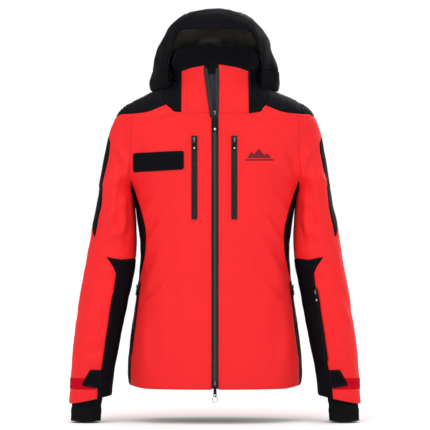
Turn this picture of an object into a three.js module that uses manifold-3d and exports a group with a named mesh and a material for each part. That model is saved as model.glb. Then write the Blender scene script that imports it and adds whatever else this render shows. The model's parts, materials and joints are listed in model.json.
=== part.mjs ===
// A women's ski jacket with its hood up, as an assembly of sewn panels, linings, zips, tabs and cuffs.
// All sizes are in millimetres. Heights are counted up from the hem; the group at the end is lowered
// so that its origin is at the neck, where the wearer's shoulders carry the jacket. The front faces -Y,
// and left and right are the wearer's, so the right side is at -X.
import * as THREE from "three";
import { mergeVertices } from "three/addons/utils/BufferGeometryUtils.js";
import Module from "manifold-3d";

const wasm = await Module();
wasm.setup();

// ---------------------------------------------------------------- driving dimensions
const NECK_HEIGHT = 650; // of the origin, above the hem
const SHELL = 4; // face fabric with its insulation
const LINING = { from: 7.8, to: 9.6 }; // how deep the lining lies below the face
const SEAM = 0.5; // gap between neighbouring panels
const ARMHOLE_X = 186;
const ARMPIT = 447; // height of the bottom of the armhole
const ZIP_FOOT_Y = -126; // the front edge at the hem
const ZIP_LEAN = 34 / 650; // how far the straight front edge leans back for each mm of height
const ZIP_HALF = 7.3; // half the width of the zip between the front panels
const COLLAR_SEAM_X = 74; // where the red collar front meets the black collar side
const ELBOW = { top: 390, foot: 225 }; // the stretch of sleeve that bends
const CUFF_END = [[215, -13], [330, -35.5]]; // the sleeve's slanting end, as seen from the front
const HOOD = { hem: 655.5, fold: 700, brim: 788, top: 836, panelX: 62, brimY: -66 };
const CHEST_ZIP = { left: 42, right: 45, foot: 371, top: 554, width: 12.5 };
const HAND_ZIP = { foot: [185, 72], top: [166, 232], width: 9 };
const SLEEVE_ZIP = { foot: [244, 61], top: [221, 219], width: 8 };
const BODY_SIDES = 30;
const LINING_SIDES = 22;
const SLEEVE_SIDES = 14;
const HOOD_SIDES = 22;
const FAR = 260; // beyond the jacket on every side

const finish = (color, roughness, metalness = 0) => ({ color, roughness, metalness });
const RED = finish(0xf03a35, 0.75);
const DEEP_RED = finish(0xc8141e, 0.9);
const BLACK = finish(0x17161b, 0.8);
const LOOP_BLACK = finish(0x19171c, 0.95);
const SATIN = finish(0x2c2b2a, 0.45);
const ZIP_BLACK = finish(0x101012, 0.35);
const KNIT = finish(0x17181a, 0.95);

// ---------------------------------------------------------------- small tools
const smoothstep = (low, high, x) => THREE.MathUtils.smoothstep(x, low, high);
const signedPower = (v, p) => Math.sign(v) * Math.abs(v) ** p;
const mirrored = (solid, side) => (side > 0 ? solid : solid.mirror([1, 0, 0]));
const sideName = (side) => (side > 0 ? "left" : "right");
const vector = (x, y, z) => new THREE.Vector3(x, y, z);

// A smooth curve through [position, value] pairs.
function profile(pairs) {
  const slope = (i) => {
    const [a, b] = [pairs[Math.max(i - 1, 0)], pairs[Math.min(i + 1, pairs.length - 1)]];
    return (b[1] - a[1]) / (b[0] - a[0]);
  };
  return (at) => {
    const beyond = pairs.findIndex((p) => p[0] > at);
    const i = beyond < 0 ? pairs.length - 2 : Math.max(beyond - 1, 0);
    const [[x0, y0], [x1, y1]] = [pairs[i], pairs[i + 1]];
    const span = x1 - x0;
    const t = Math.min(Math.max((at - x0) / span, 0), 1);
    const [m0, m1] = [slope(i) * span, slope(i + 1) * span];
    const [t2, t3] = [t * t, t * t * t];
    return (2 * t3 - 3 * t2 + 1) * y0 + (t3 - 2 * t2 + t) * m0
      + (3 * t2 - 2 * t3) * y1 + (t3 - t2) * m1;
  };
}

function toSolid(geometry) {
  const bare = geometry.clone();
  bare.deleteAttribute("normal");
  bare.deleteAttribute("uv");
  const merged = mergeVertices(bare, 1e-4);
  return new wasm.Manifold(new wasm.Mesh({
    numProp: 3,
    vertProperties: new Float32Array(merged.attributes.position.array),
    triVerts: new Uint32Array(merged.index.array),
  }));
}

// The largest body of a solid, without the slivers that a seam may leave beside it.
function toGeometry(solid) {
  const whole = solid.decompose().sort((a, b) => b.volume() - a.volume())[0];
  const mesh = whole.getMesh();
  const geometry = new THREE.BufferGeometry();
  geometry.setAttribute("position", new THREE.BufferAttribute(mesh.vertProperties, 3));
  geometry.setIndex(new THREE.BufferAttribute(mesh.triVerts, 1));
  return geometry;
}

// A closed solid from rings of points, each ring running the same way round, with flat ends.
function loft(rings) {
  const n = rings[0].length;
  const middle = (ring) => ring.reduce((sum, p) => sum.add(p), vector(0, 0, 0)).divideScalar(n);
  const points = [...rings.flat(), middle(rings[0]), middle(rings.at(-1))];
  const [foot, head] = [points.length - 2, points.length - 1];
  const top = (rings.length - 1) * n;
  const faces = [];
  for (let i = 0; i < n; i += 1) {
    const j = (i + 1) % n;
    for (let row = 0; row < top; row += n) {
      faces.push(row + i, row + j, row + n + j, row + i, row + n + j, row + n + i);
    }
    faces.push(foot, j, i, head, top + i, top + j);
  }
  const geometry = new THREE.BufferGeometry().setFromPoints(points);
  geometry.setIndex(faces);
  const solid = toSolid(geometry);
  if (solid.volume() > 0) return solid;
  geometry.setIndex(faces.reverse());
  return toSolid(geometry);
}

// Rings of a surface(angle, height), pushed out along its normal by grow.
function surfaceSolid(surface, sides, stations, grow) {
  const step = 1e-3;
  return loft(stations.map((at) => Array.from({ length: sides }, (_, i) => {
    const angle = ((i + 0.5) / sides) * 2 * Math.PI;
    const p = surface(angle, at);
    const around = surface(angle + step, at).sub(surface(angle - step, at));
    const along = surface(angle, at + step).sub(surface(angle, at - step));
    return p.addScaledVector(around.cross(along).normalize(), grow);
  })));
}

// The same outline with every corner moved out by grow, or in where grow is negative.
function grown(outline, grow) {
  const points = outline.map(([x, y]) => new THREE.Vector2(x, y));
  const turn = THREE.ShapeUtils.isClockWise(points) ? 1 : -1;
  const sharpest = 0.3;
  return points.map((p, i) => {
    const before = points.at(i - 1).clone().sub(p).normalize();
    const after = points[(i + 1) % points.length].clone().sub(p).normalize();
    const along = after.clone().sub(before).normalize();
    const bend = Math.max(Math.sqrt((1 - before.dot(after)) / 2), sharpest);
    return new THREE.Vector2(-along.y, along.x).multiplyScalar((turn * grow) / bend).add(p);
  });
}

// An outline of [x, height] points seen from the front, made solid between two depths.
function frontPrism(outline, nearY, farY, grow = 0) {
  const shape = new THREE.Shape(grown(outline, grow));
  const geometry = new THREE.ExtrudeGeometry(shape, { depth: farY - nearY, bevelEnabled: false });
  geometry.rotateX(Math.PI / 2);
  return toSolid(geometry.translate(0, farY, 0));
}

// An outline of [y, height] points seen from the side, made solid from one x to another.
function sidePrism(outline, nearX = -400, farX = 400, grow = 0) {
  const shape = new THREE.Shape(grown(outline, grow));
  const geometry = new THREE.ExtrudeGeometry(shape, { depth: farX - nearX, bevelEnabled: false });
  geometry.rotateX(Math.PI / 2);
  geometry.rotateZ(Math.PI / 2);
  return toSolid(geometry.translate(nearX, 0, 0));
}

function block([x0, x1], [y0, y1], [z0, z1]) {
  const box = new THREE.BoxGeometry(x1 - x0, y1 - y0, z1 - z0);
  return toSolid(box.translate((x0 + x1) / 2, (y0 + y1) / 2, (z0 + z1) / 2));
}
const EVERYWHERE = [-500, 500];
const above = (height) => block(EVERYWHERE, EVERYWHERE, [height, 1000]);
const below = (height) => block(EVERYWHERE, EVERYWHERE, [-200, height]);

const jacket = new THREE.Group();
function add(name, geometry, look, parent = jacket) {
  const mesh = new THREE.Mesh(geometry, new THREE.MeshStandardMaterial(look));
  mesh.name = name;
  parent.add(mesh);
  return mesh;
}

// ---------------------------------------------------------------- the body surface
const halfWidth = profile([
  [-30, 187], [0, 190], [50, 193], [110, 188], [170, 179], [230, 170], [300, 165], [350, 167],
  [400, 174], [440, 182], [480, 203], [530, 221], [580, 220], [612, 206], [630, 186], [642, 163],
  [651, 142], [660, 119], [668, 103], [676, 96], [690, 97], [713, 101], [735, 100], [790, 92],
]);
const backDepth = profile([
  [-30, 122], [0, 122], [100, 117], [200, 104], [300, 95], [400, 103], [500, 113], [560, 113],
  [610, 104], [640, 95], [660, 88], [676, 85], [713, 86], [790, 92],
]);
const squareness = profile([
  [-30, 2.5], [300, 2.3], [440, 2.4], [520, 2.6], [600, 2.3], [640, 1.9], [676, 2], [790, 2.1],
]);
const BUST = { x: 98, height: 487, out: 8, reachX: 62, reachZ: 93, from: 46, to: 92 };
const bell = (distance, reach) => Math.exp(-((distance / reach) ** 2));
const frontLineY = (height) => ZIP_FOOT_Y + ZIP_LEAN * height;

function bust(x, height) {
  const across = smoothstep(BUST.from, BUST.to, Math.abs(x))
    * bell(Math.max(Math.abs(x) - BUST.x, 0), BUST.reachX);
  return BUST.out * across * bell(height - BUST.height, BUST.reachZ);
}

// Angle 0 is the wearer's left side, a quarter turn is the back, three quarters the front.
function bodySurface(angle, height) {
  const [c, s] = [Math.cos(angle), Math.sin(angle)];
  const power = 2 / squareness(height);
  const x = halfWidth(height) * signedPower(c, power);
  const depth = s > 0 ? backDepth(height) : -frontLineY(height) + bust(x, height);
  return vector(x, depth * signedPower(s, power), height);
}

const BODY_STATIONS = [
  -25, 55, 115, 175, 235, 300, 360, 410, 446, 487, 530, 570, 600, 620, 634, 643, 651, 660, 668,
  676, 713, 785,
];
const LINING_STATIONS = [
  -25, 115, 235, 300, 360, 410, 446, 487, 530, 600, 634, 651, 660, 668, 676, 713, 785,
];
const bodySolid = (grow) => surfaceSolid(bodySurface, BODY_SIDES, BODY_STATIONS, grow);
const liningSolid = (grow) => surfaceSolid(bodySurface, LINING_SIDES, LINING_STATIONS, grow);

// The front of the body at a given x and height, and the direction that it faces.
function bodyFront(x, height) {
  const at = (px, pz) => {
    const n = squareness(pz);
    const share = Math.max(1 - Math.abs(px / halfWidth(pz)) ** n, 0) ** (1 / n);
    return vector(px, (frontLineY(pz) - bust(px, pz)) * share, pz);
  };
  const across = at(x + 0.5, height).sub(at(x - 0.5, height));
  const up = at(x, height + 0.5).sub(at(x, height - 0.5));
  return { point: at(x, height), facing: across.cross(up).normalize() };
}

// ---------------------------------------------------------------- the sleeve surface (left side)
const sleeveOuter = profile([
  [-42, 321], [13, 319], [48, 317], [84, 314], [154, 305], [225, 294], [260, 287], [330, 276],
  [365, 271], [400, 263], [436, 257], [471, 252], [541, 239], [576, 230], [594, 223], [612, 211],
  [629, 190],
]);
const sleeveInner = profile([
  [-42, 229], [-4, 226], [48, 219], [84, 211], [154, 198], [225, 185], [260, 178], [310, 173],
  [350, 174], [400, 179], [430, 184], [447, 187.5], [456, 186], [468, 168], [485, 135], [510, 105],
  [560, 88], [629, 100],
]);
const sleeveDepth = profile([
  [-42, 49], [0, 50], [110, 52], [190, 54], [260, 57], [330, 60], [400, 69], [450, 76], [530, 72],
  [600, 64], [629, 50],
]);
const sleeveMiddleY = profile([
  [-42, -51], [0, -46], [110, -34], [190, -24], [260, -14], [330, -5], [400, 1], [450, 4],
  [530, 5], [629, 3],
]);

function sleeveSurface(angle, height) {
  const [outer, inner] = [sleeveOuter(height), sleeveInner(height)];
  const x = (outer + inner) / 2 + ((outer - inner) / 2) * Math.cos(angle);
  return vector(x, sleeveMiddleY(height) + sleeveDepth(height) * Math.sin(angle), height);
}

function sleeveFront(x, height) {
  const at = (px, pz) => {
    const [outer, inner] = [sleeveOuter(pz), sleeveInner(pz)];
    const share = (2 * px - outer - inner) / (outer - inner);
    return vector(px, sleeveMiddleY(pz) - sleeveDepth(pz) * Math.sqrt(1 - share * share), pz);
  };
  const across = at(x + 0.5, height).sub(at(x - 0.5, height));
  const up = at(x, height + 0.5).sub(at(x, height - 0.5));
  return { point: at(x, height), facing: across.cross(up).normalize() };
}

const SLEEVE_STATIONS = [
  -42, 48, 130, 225, 285, 340, 390, 425, 447, 458, 470, 488, 510, 555, 595, 614, 629,
];
const sleeveSolid = (grow) => surfaceSolid(sleeveSurface, SLEEVE_SIDES, SLEEVE_STATIONS, grow);

// ---------------------------------------------------------------- the hood surface
const hoodWidth = profile([
  [640, 141], [660, 143], [678, 144], [695, 141], [713, 138], [739, 129], [766, 120], [783, 111],
  [801, 99], [818, 78], [827, 61], [836, 24],
]);
const hoodFrontY = profile([
  [640, -70], [700, -88], [750, -102], [788, -110], [801, -107], [818, -92], [827, -76], [836, -38],
]);
const hoodBackY = profile([
  [640, 120], [660, 130], [700, 146], [740, 152], [780, 146], [801, 134], [818, 110], [827, 92],
  [836, 46],
]);
const HOOD_SQUARENESS = 2.2;

function hoodSurface(angle, height) {
  const [front, back] = [hoodFrontY(height), hoodBackY(height)];
  const power = 2 / HOOD_SQUARENESS;
  const x = hoodWidth(height) * signedPower(Math.cos(angle), power);
  const y = (front + back) / 2 + ((back - front) / 2) * signedPower(Math.sin(angle), power);
  return vector(x, y, height);
}

const HOOD_STATIONS = [640, 676, 710, 740, 766, 788, 804, 818, 828, HOOD.top];
const hoodSolid = (grow) => surfaceSolid(hoodSurface, HOOD_SIDES, HOOD_STATIONS, grow);

// ---------------------------------------------------------------- seams of the body
const sideSeam = [
  [187, -30], [187, 8], [184, 101], [173, 205], [163, 256], [154, 300], [153, 345], [161, 383],
  [172, 418], [181, 444], [187, 460],
];
const backSideSeam = [
  [166, -30], [168, 50], [160, 120], [146, 220], [138, 300], [142, 370], [160, 430], [187, 470],
];
const frontYokeSeam = [[187, 603], [160, 605], [142, 609], [120, 622], [88, 631], [74, 619]];
const backYokeSeam = [[187, 585], [120, 566], [60, 556]];
const neckSeam = [[-94, 602], [-86, 614], [-62, 644], [-20, 668], [30, 678], [90, 683]];
const collarTop = [[-92, 711], [-62, 698], [-20, 707], [0, 719], [30, 746], [55, 755]];
const neckOpening = [[-25.3, 765], [-25.3, 711], [-11, 594], [8, 594], [8.8, 765]];
const frontOutline = [
  [ZIP_HALF, -30], ...sideSeam, [210, 460], [210, 603], ...frontYokeSeam, [74, 645],
  [ZIP_HALF, 645],
];
const backHalfOutline = [...backSideSeam, [210, 470], [210, 585], ...backYokeSeam];
const backOutline = [...backHalfOutline, ...backHalfOutline.map(([x, z]) => [-x, z]).reverse()];

const aboveNeck = (grow) => sidePrism(
  [[-FAR, 602], ...neckSeam, [FAR, 683], [FAR, 900], [-FAR, 900]], -400, 400, grow);
const aboveCollar = sidePrism([[-FAR, 712], ...collarTop, [FAR, 757], [FAR, 900], [-FAR, 900]]);
const undone = frontPrism(neckOpening, -FAR, 0);

// A layer of cloth all over the body, between two solids, open at the hem, at the armholes, at the
// top of the collar and where the zip is undone.
function bodyLayer(outer, inner, hem = 0) {
  let layer = outer.subtract(inner).subtract(below(hem));
  for (const side of [1, -1]) {
    layer = layer.subtract(mirrored(block([ARMHOLE_X, 400], EVERYWHERE, [ARMPIT, 660]), side));
  }
  return layer.subtract(aboveCollar).subtract(undone);
}

const bodyShell = bodyLayer(bodySolid(0), bodySolid(-SHELL));

// Everything that lies between the inside and the outside of the front of the zip.
const zipGap = (half) => block([-half, half], [-FAR, 0], [-100, 760]);

// ---------------------------------------------------------------- frames along a zip
// A group whose origin is at the foot of a zip, with Z up along it, Y into the jacket and X across.
function zipFrame(foot, top) {
  const up = top.point.clone().sub(foot.point).normalize();
  const facing = foot.facing.clone().add(top.facing);
  const across = up.clone().cross(facing).normalize();
  const inward = up.clone().cross(across);
  const frame = new THREE.Group();
  frame.position.copy(foot.point);
  frame.quaternion.setFromRotationMatrix(new THREE.Matrix4().makeBasis(across, inward, up));
  frame.userData.length = top.point.distanceTo(foot.point);
  frame.updateMatrix();
  return frame;
}

const inFrame = (geometry, frame) => toSolid(geometry.clone().applyMatrix4(frame.matrix));

function stripGeometry(frame, width, grow = 0) {
  const length = frame.userData.length;
  const depth = grow ? 16 : SHELL - 0.4;
  const box = new THREE.BoxGeometry(width + 2 * grow, depth, length + 2 * grow);
  return box.translate(0, SHELL / 2 + 0.1, length / 2);
}

// ---------------------------------------------------------------- sliders and pullers
// Measured from the foot of the slider, on the face of the zip.
const SLIDER = { face: 0.9, plate: 2.4, bridge: 2.8, reach: 6.7, gap: 2.6, bar: 1.4, slot: 2 };

function sliderGeometry(width, height) {
  const { face, plate, bridge, reach, gap } = SLIDER;
  const shoulder = 0.62;
  const outline = [
    [-width * 0.32, 0], [width * 0.32, 0], [width / 2, height * shoulder], [width / 2, height],
    [-width / 2, height], [-width / 2, height * shoulder],
  ];
  const body = frontPrism(outline, -face - plate, -face);
  const [low, high] = [height - 13, height - 1.5];
  const arch = block([-bridge / 2, bridge / 2], [-face - reach, -face - plate + 0.5], [low, high]);
  const wall = 2.1;
  const eye = block([-bridge, bridge], [-face - plate - gap, -face - plate],
    [low + wall, high - wall]);
  return toGeometry(body.add(arch.subtract(eye)));
}

// A flat tab that hangs from the slider's bridge by the bar at its top. Its hinge is at the bar.
const pullerHinge = (height) => ({
  y: -(SLIDER.face + SLIDER.plate + SLIDER.gap / 2), z: height - 5,
});

function pullerGeometry(width, length, ring = 0) {
  const { bar, slot } = SLIDER;
  const window = 8.6;
  const outline = new THREE.Shape();
  const [half, top, foot, chamfer] = [width / 2, bar / 2, bar / 2 - length, 1.2];
  const corners = [
    [half - chamfer, top], [half, top - chamfer], [half, foot + chamfer], [half - chamfer, foot],
    [chamfer - half, foot], [-half, foot + chamfer], [-half, top - chamfer], [chamfer - half, top],
  ];
  outline.setFromPoints(corners.map(([x, z]) => new THREE.Vector2(x, z)));
  const eye = [[-slot, -top], [-slot, -top - window], [slot, -top - window], [slot, -top]];
  outline.holes.push(new THREE.Path(eye.map(([x, z]) => new THREE.Vector2(x, z))));
  const tab = new THREE.ExtrudeGeometry(outline, { depth: bar, bevelEnabled: false });
  tab.rotateX(Math.PI / 2).translate(0, bar / 2, 0);
  if (!ring) return toGeometry(toSolid(tab));
  const hoop = new THREE.TorusGeometry(ring, 1.3, 6, 16).rotateX(Math.PI / 2);
  return toGeometry(toSolid(tab).add(toSolid(hoop.translate(0, 0, foot - ring + 0.6))));
}

function addSlider(name, frame, at, { width, height, pullWidth, pull, ring }) {
  const place = new THREE.Group();
  place.position.z = at;
  frame.add(place);
  add(`${name}_slider`, sliderGeometry(width, height), ZIP_BLACK, place);
  const puller = add(`${name}_puller`, pullerGeometry(pullWidth, pull, ring), ZIP_BLACK, place);
  const hinge = pullerHinge(height);
  puller.position.set(0, hinge.y, hinge.z);
}

// ---------------------------------------------------------------- the body
const chestZip = (side) => {
  const x = side * (side > 0 ? CHEST_ZIP.left : CHEST_ZIP.right);
  return zipFrame(bodyFront(x, CHEST_ZIP.foot), bodyFront(x, CHEST_ZIP.top));
};
const handZip = (side) => {
  const [foot, top] = [HAND_ZIP.foot, HAND_ZIP.top].map(([x, z]) => bodyFront(side * x, z));
  return zipFrame(foot, top);
};

function addBodyPanels() {
  const torso = bodyShell.subtract(aboveNeck(SEAM / 2)).subtract(zipGap(ZIP_HALF));
  const inset = -SEAM / 2;
  const backCut = (grow) => frontPrism(backOutline, 3 - grow, FAR, grow);
  add("back_panel", toGeometry(torso.intersect(backCut(inset))), RED);
  for (const side of [1, -1]) {
    const frontCut = (grow) => mirrored(frontPrism(frontOutline, -FAR, grow - 3, grow), side);
    const half = mirrored(block([0.3, 400], EVERYWHERE, [-100, 760]), side);
    const pockets = [[chestZip(side), CHEST_ZIP.width], [handZip(side), HAND_ZIP.width]]
      .map(([frame, width]) => inFrame(stripGeometry(frame, width, 0.4), frame));
    const front = torso.intersect(frontCut(inset)).subtract(pockets[0]).subtract(pockets[1]);
    const rest = torso.subtract(frontCut(-inset)).subtract(backCut(-inset)).intersect(half)
      .subtract(pockets[1]);
    const name = sideName(side);
    add(`front_panel_${name}`, toGeometry(front), RED);
    add(`side_panel_${name}`, toGeometry(rest.subtract(above(530))), BLACK);
    add(`shoulder_yoke_${name}`, toGeometry(rest.subtract(below(530))), BLACK);
  }
}

function addCollar() {
  const collar = bodyShell.intersect(aboveNeck(-SEAM / 2));
  const red = (side, grow) => mirrored(
    block([-20, COLLAR_SEAM_X + grow], [-FAR, -4 + grow], [590, 800]), side);
  for (const side of [1, -1]) {
    const half = mirrored(block([-2, 400], EVERYWHERE, [590, 800]), side);
    const part = collar.intersect(red(side, -SEAM / 2)).intersect(half).subtract(undone);
    add(`collar_front_${sideName(side)}`, toGeometry(part), RED);
  }
  const rest = collar.subtract(red(1, SEAM / 2)).subtract(red(-1, SEAM / 2));
  add("collar_back", toGeometry(rest), BLACK);
}

function addLinings() {
  const facing = 20; // half the width that the front facings cover
  const layer = bodyLayer(liningSolid(-LINING.from), liningSolid(-LINING.to), 10)
    .subtract(zipGap(facing));
  const shorter = block(EVERYWHERE, EVERYWHERE, [754, 800]);
  const armholes = [1, -1].map((side) => mirrored(block([182, 400], EVERYWHERE, [440, 660]), side));
  const torso = layer.subtract(aboveNeck(1)).subtract(armholes[0]).subtract(armholes[1]);
  add("torso_lining", toGeometry(torso), SATIN);
  add("collar_lining", toGeometry(layer.intersect(aboveNeck(-1)).subtract(shorter)), BLACK);
  const skirt = { from: 14, to: 16, foot: 45, top: 190, stations: [30, 115, 205] };
  const tube = (grow) => surfaceSolid(bodySurface, LINING_SIDES, skirt.stations, grow);
  const band = tube(-skirt.from).subtract(tube(-skirt.to))
    .subtract(below(skirt.foot)).subtract(above(skirt.top)).subtract(zipGap(facing));
  add("powder_skirt", toGeometry(band), SATIN);
}

function addHangerLoop() {
  const [reach, drop, thick, tall, backY] = [30, 9, 1.6, 8, 66.5];
  const arch = new THREE.Shape();
  arch.moveTo(-reach, 0);
  arch.quadraticCurveTo(0, -2 * drop, reach, 0);
  arch.lineTo(reach, thick);
  arch.quadraticCurveTo(0, thick - 2 * drop, -reach, thick);
  const ribbon = new THREE.ExtrudeGeometry(arch, { depth: tall, bevelEnabled: false, curveSegments: 8 });
  add("hanger_loop", toGeometry(toSolid(ribbon.translate(0, backY, 684))), BLACK);
}

// ---------------------------------------------------------------- the zips of the body
const frontZip = zipFrame(bodyFront(0, 0), bodyFront(0, 700));
const MAIN_TOP = 611; // the upper slider's top, where the zip is undone
const HALF_GAP = 0.35;

// Each half of the zip is a tape with a bead of teeth along its inner edge. Above the slider the
// right half leans out with the open collar.
function addMainZip() {
  const tapeTop = 706;
  const halves = {
    left: { edge: [[6.9, 2], [6.9, 596], [7.5, 601], [8.2, tapeTop]], bead: [HALF_GAP, 1.9] },
    right: { edge: [[-6.9, 2], [-6.9, 596], [-11, 601], [-24, tapeTop]], bead: [-HALF_GAP, -4.9] },
  };
  for (const [name, { edge, bead }] of Object.entries(halves)) {
    const [foot, knee] = bead;
    const side = Math.sign(foot);
    const top = edge.at(-1)[0] - side * 6;
    const strip = [...edge, [top, tapeTop], [knee, 601], [foot, 588], [foot, 2]];
    const rim = [[foot + side * 2.8, 2], [foot + side * 2.8, 588], [knee + side * 2.8, 601],
      [top + side * 2.8, tapeTop], ...strip.slice(-4)];
    const solid = frontPrism(strip, 0.8, 2.6).add(frontPrism(rim, -0.6, 3.2));
    add(`zip_half_${name}`, toGeometry(solid), ZIP_BLACK, frontZip);
  }
  addSlider("front_upper", frontZip, MAIN_TOP - 19,
    { width: 10.5, height: 19, pullWidth: 8, pull: 42 });
  addSlider("front_lower", frontZip, 1,
    { width: 10.5, height: 19, pullWidth: 7.5, pull: 31, ring: 5.8 });
  const flap = block([-16, 16], [7.4, 9.4], [8, 690]);
  add("storm_flap", toGeometry(flap), BLACK, frontZip);
  jacket.add(frontZip);
}

function addPocketZips() {
  const pockets = [["chest", chestZip, CHEST_ZIP, { width: 8, height: 15, pullWidth: 6, pull: 24 }],
    ["hand", handZip, HAND_ZIP, { width: 7.5, height: 15, pullWidth: 6, pull: 24 }]];
  for (const [pocket, frameOf, { width }, pull] of pockets) {
    for (const side of [1, -1]) {
      const frame = frameOf(side);
      const name = `${pocket}_${sideName(side)}`;
      add(`${name}_zip`, stripGeometry(frame, width), ZIP_BLACK, frame);
      addSlider(name, frame, frame.userData.length - pull.height - 3, pull);
      jacket.add(frame);
    }
  }
}

// A loop panel for a removable badge, lying on the right chest.
function addBadgePanel() {
  const outline = [[-180, 473], [-68, 480], [-68, 522], [-180, 515]];
  const face = bodySolid(2.6).subtract(bodySolid(0.5));
  add("badge_panel", toGeometry(face.intersect(frontPrism(outline, -FAR, 0))), LOOP_BLACK);
}

// ---------------------------------------------------------------- sleeves
const stripeOutline = [
  [-42, 331], [0, 359], [24, 376], [22, 565], [0, 557], [-28, 540], [-40, 470], [-45, 400],
];
const innerPanelOutline = [
  [150, 284], [180, 285], [205, 282], [239, 289], [216, 253], [222, 216], [227, 194], [249, 40],
  [256, 0], [259, -60], [150, -60],
];
const cuffEnd = [...CUFF_END, [330, -120], [215, -120]];

function addSleeve(side) {
  const name = sideName(side);
  const inset = SEAM / 2;
  const bore = sleeveSolid(-SHELL);
  const opened = bore.add(bore.translate([0, 0, -1.5 * SHELL]));
  const body = block([0, ARMHOLE_X + SEAM], EVERYWHERE, [300, 700]);
  const whole = sleeveSolid(0).subtract(opened).subtract(body)
    .subtract(frontPrism(cuffEnd, -FAR, FAR));
  const part = (solid, label, look) => add(label, toGeometry(mirrored(solid, side)), look);
  const stripe = (grow) => sidePrism(stripeOutline, 200, 340, grow);
  const upper = whole.subtract(below(ELBOW.top + inset));
  part(upper.subtract(stripe(inset)), `sleeve_upper_${name}`, RED);
  part(upper.intersect(stripe(-inset)), `sleeve_stripe_${name}`, BLACK);
  part(whole.subtract(above(ELBOW.top - inset)).subtract(below(ELBOW.foot + inset)),
    `elbow_section_${name}`, RED);
  const forearm = whole.subtract(above(ELBOW.foot - inset));
  const inner = (grow) => frontPrism(innerPanelOutline, -FAR, FAR, grow);
  const pocket = side > 0
    ? inFrame(stripGeometry(sleeveZip, SLEEVE_ZIP.width, 0.4), sleeveZip) : below(-150);
  part(forearm.subtract(inner(inset)).subtract(pocket), `forearm_outer_${name}`, RED);
  part(forearm.intersect(inner(-inset)).subtract(pocket), `forearm_inner_${name}`, BLACK);
}

const sleeveZip = zipFrame(sleeveFront(...SLEEVE_ZIP.foot), sleeveFront(...SLEEVE_ZIP.top));
function addSleeveZip() {
  add("sleeve_pocket_zip", stripGeometry(sleeveZip, SLEEVE_ZIP.width), ZIP_BLACK, sleeveZip);
  addSlider("sleeve_pocket", sleeveZip, sleeveZip.userData.length - 16,
    { width: 7, height: 15, pullWidth: 6, pull: 24 });
  jacket.add(sleeveZip);
}

// The cuff's hook tab, the loop strip that it closes on, and the knitted gaiter inside the cuff.
function addCuff(side) {
  const name = sideName(side);
  const skin = (from, to) => sleeveSolid(to).subtract(sleeveSolid(from));
  const tabOutline = [[250, 41], [274, 42], [290, 12], [286, 8], [256, 2]];
  const tab = skin(1.5, 3.6).intersect(frontPrism(tabOutline, -FAR, -60));
  add(`cuff_tab_${name}`, toGeometry(mirrored(tab, side)), BLACK);
  const stripOutline = [[291, 25], [330, 22], [330, -2], [291, 1]];
  const strip = skin(0.4, 1.5).intersect(frontPrism(stripOutline, -FAR, -30));
  add(`cuff_loop_strip_${name}`, toGeometry(mirrored(strip, side)), DEEP_RED);
  const gaiterRing = (angle, height) => {
    const wide = THREE.MathUtils.mapLinear(height, -72, 25, 32.3, 33);
    const x = THREE.MathUtils.mapLinear(height, -72, 25, 284.2, 279.5) + wide * Math.cos(angle);
    return vector(x, sleeveMiddleY(height) - 1 + (wide + 4) * Math.sin(angle), height);
  };
  const tube = (grow, from, to) => surfaceSolid(gaiterRing, SLEEVE_SIDES, [from, -34, to], grow);
  const gaiter = tube(0, -71, 25).subtract(tube(-3, -80, 40));
  add(`wrist_gaiter_${name}`, toGeometry(mirrored(gaiter, side)), KNIT);
}

// ---------------------------------------------------------------- hood
const faceOpening = [
  [-72, 788], [-84, 779], [-96, 746], [-104, 728], [-105, 697], [-102, 660], [-102, 600],
  [102, 600], [102, 660], [105, 697], [104, 728], [96, 746], [84, 779], [72, 788],
];

function addHood() {
  const opening = (grow) => frontPrism(faceOpening, -FAR, 10, grow);
  const hollow = hoodSolid(-SHELL);
  const shell = hoodSolid(0).subtract(hollow.add(hollow.translate([0, 0, -2 * SHELL])))
    .subtract(below(HOOD.hem)).subtract(opening(0));
  const inset = SEAM / 2;
  const dome = shell.subtract(below(HOOD.fold + inset));
  const brim = (grow) => block(EVERYWHERE, [-FAR, HOOD.brimY + grow], [HOOD.brim - 22 - grow, 900]);
  const middle = (grow) => block([-HOOD.panelX - grow, HOOD.panelX + grow], EVERYWHERE, [600, 900]);
  add("hood_brim", toGeometry(dome.intersect(brim(-inset))), BLACK);
  const cap = dome.subtract(brim(inset));
  add("hood_center", toGeometry(cap.intersect(middle(-inset))), BLACK);
  for (const side of [1, -1]) {
    const half = mirrored(block([0, 400], EVERYWHERE, [600, 900]), side);
    add(`hood_side_${sideName(side)}`, toGeometry(cap.subtract(middle(inset)).intersect(half)), BLACK);
  }
  const band = shell.subtract(above(HOOD.fold - inset)).subtract(bodySolid(0.8));
  add("hood_base_band", toGeometry(band), BLACK);
  const [outer, inner] = [hoodSolid(-LINING.from), hoodSolid(-LINING.to)];
  const lining = outer.subtract(inner.add(inner.translate([0, 0, -3 * SHELL])))
    .subtract(below(HOOD.fold + 1)).subtract(opening(2));
  add("hood_lining", toGeometry(lining), SATIN);
}

// ---------------------------------------------------------------- the whole jacket
addBodyPanels();
addCollar();
addLinings();
addHangerLoop();
addMainZip();
addPocketZips();
addBadgePanel();
for (const side of [1, -1]) {
  addSleeve(side);
  addCuff(side);
}
addSleeveZip();
addHood();
jacket.position.z = -NECK_HEIGHT;

export default jacket;
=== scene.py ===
"""A women's ski jacket with its hood up: sewn panels, zips, cuffs and linings.

Shapes are worked out in millimetres, with heights counted up from the hem. A piece is moved into
the frame, whose origin is at the neck, when it is made. The front faces -Y, and the wearer's left
is at +X.
"""
import json
import math

import bmesh
import bpy
import numpy as np
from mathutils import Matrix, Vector, kdtree
from mathutils.bvhtree import BVHTree


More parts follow.
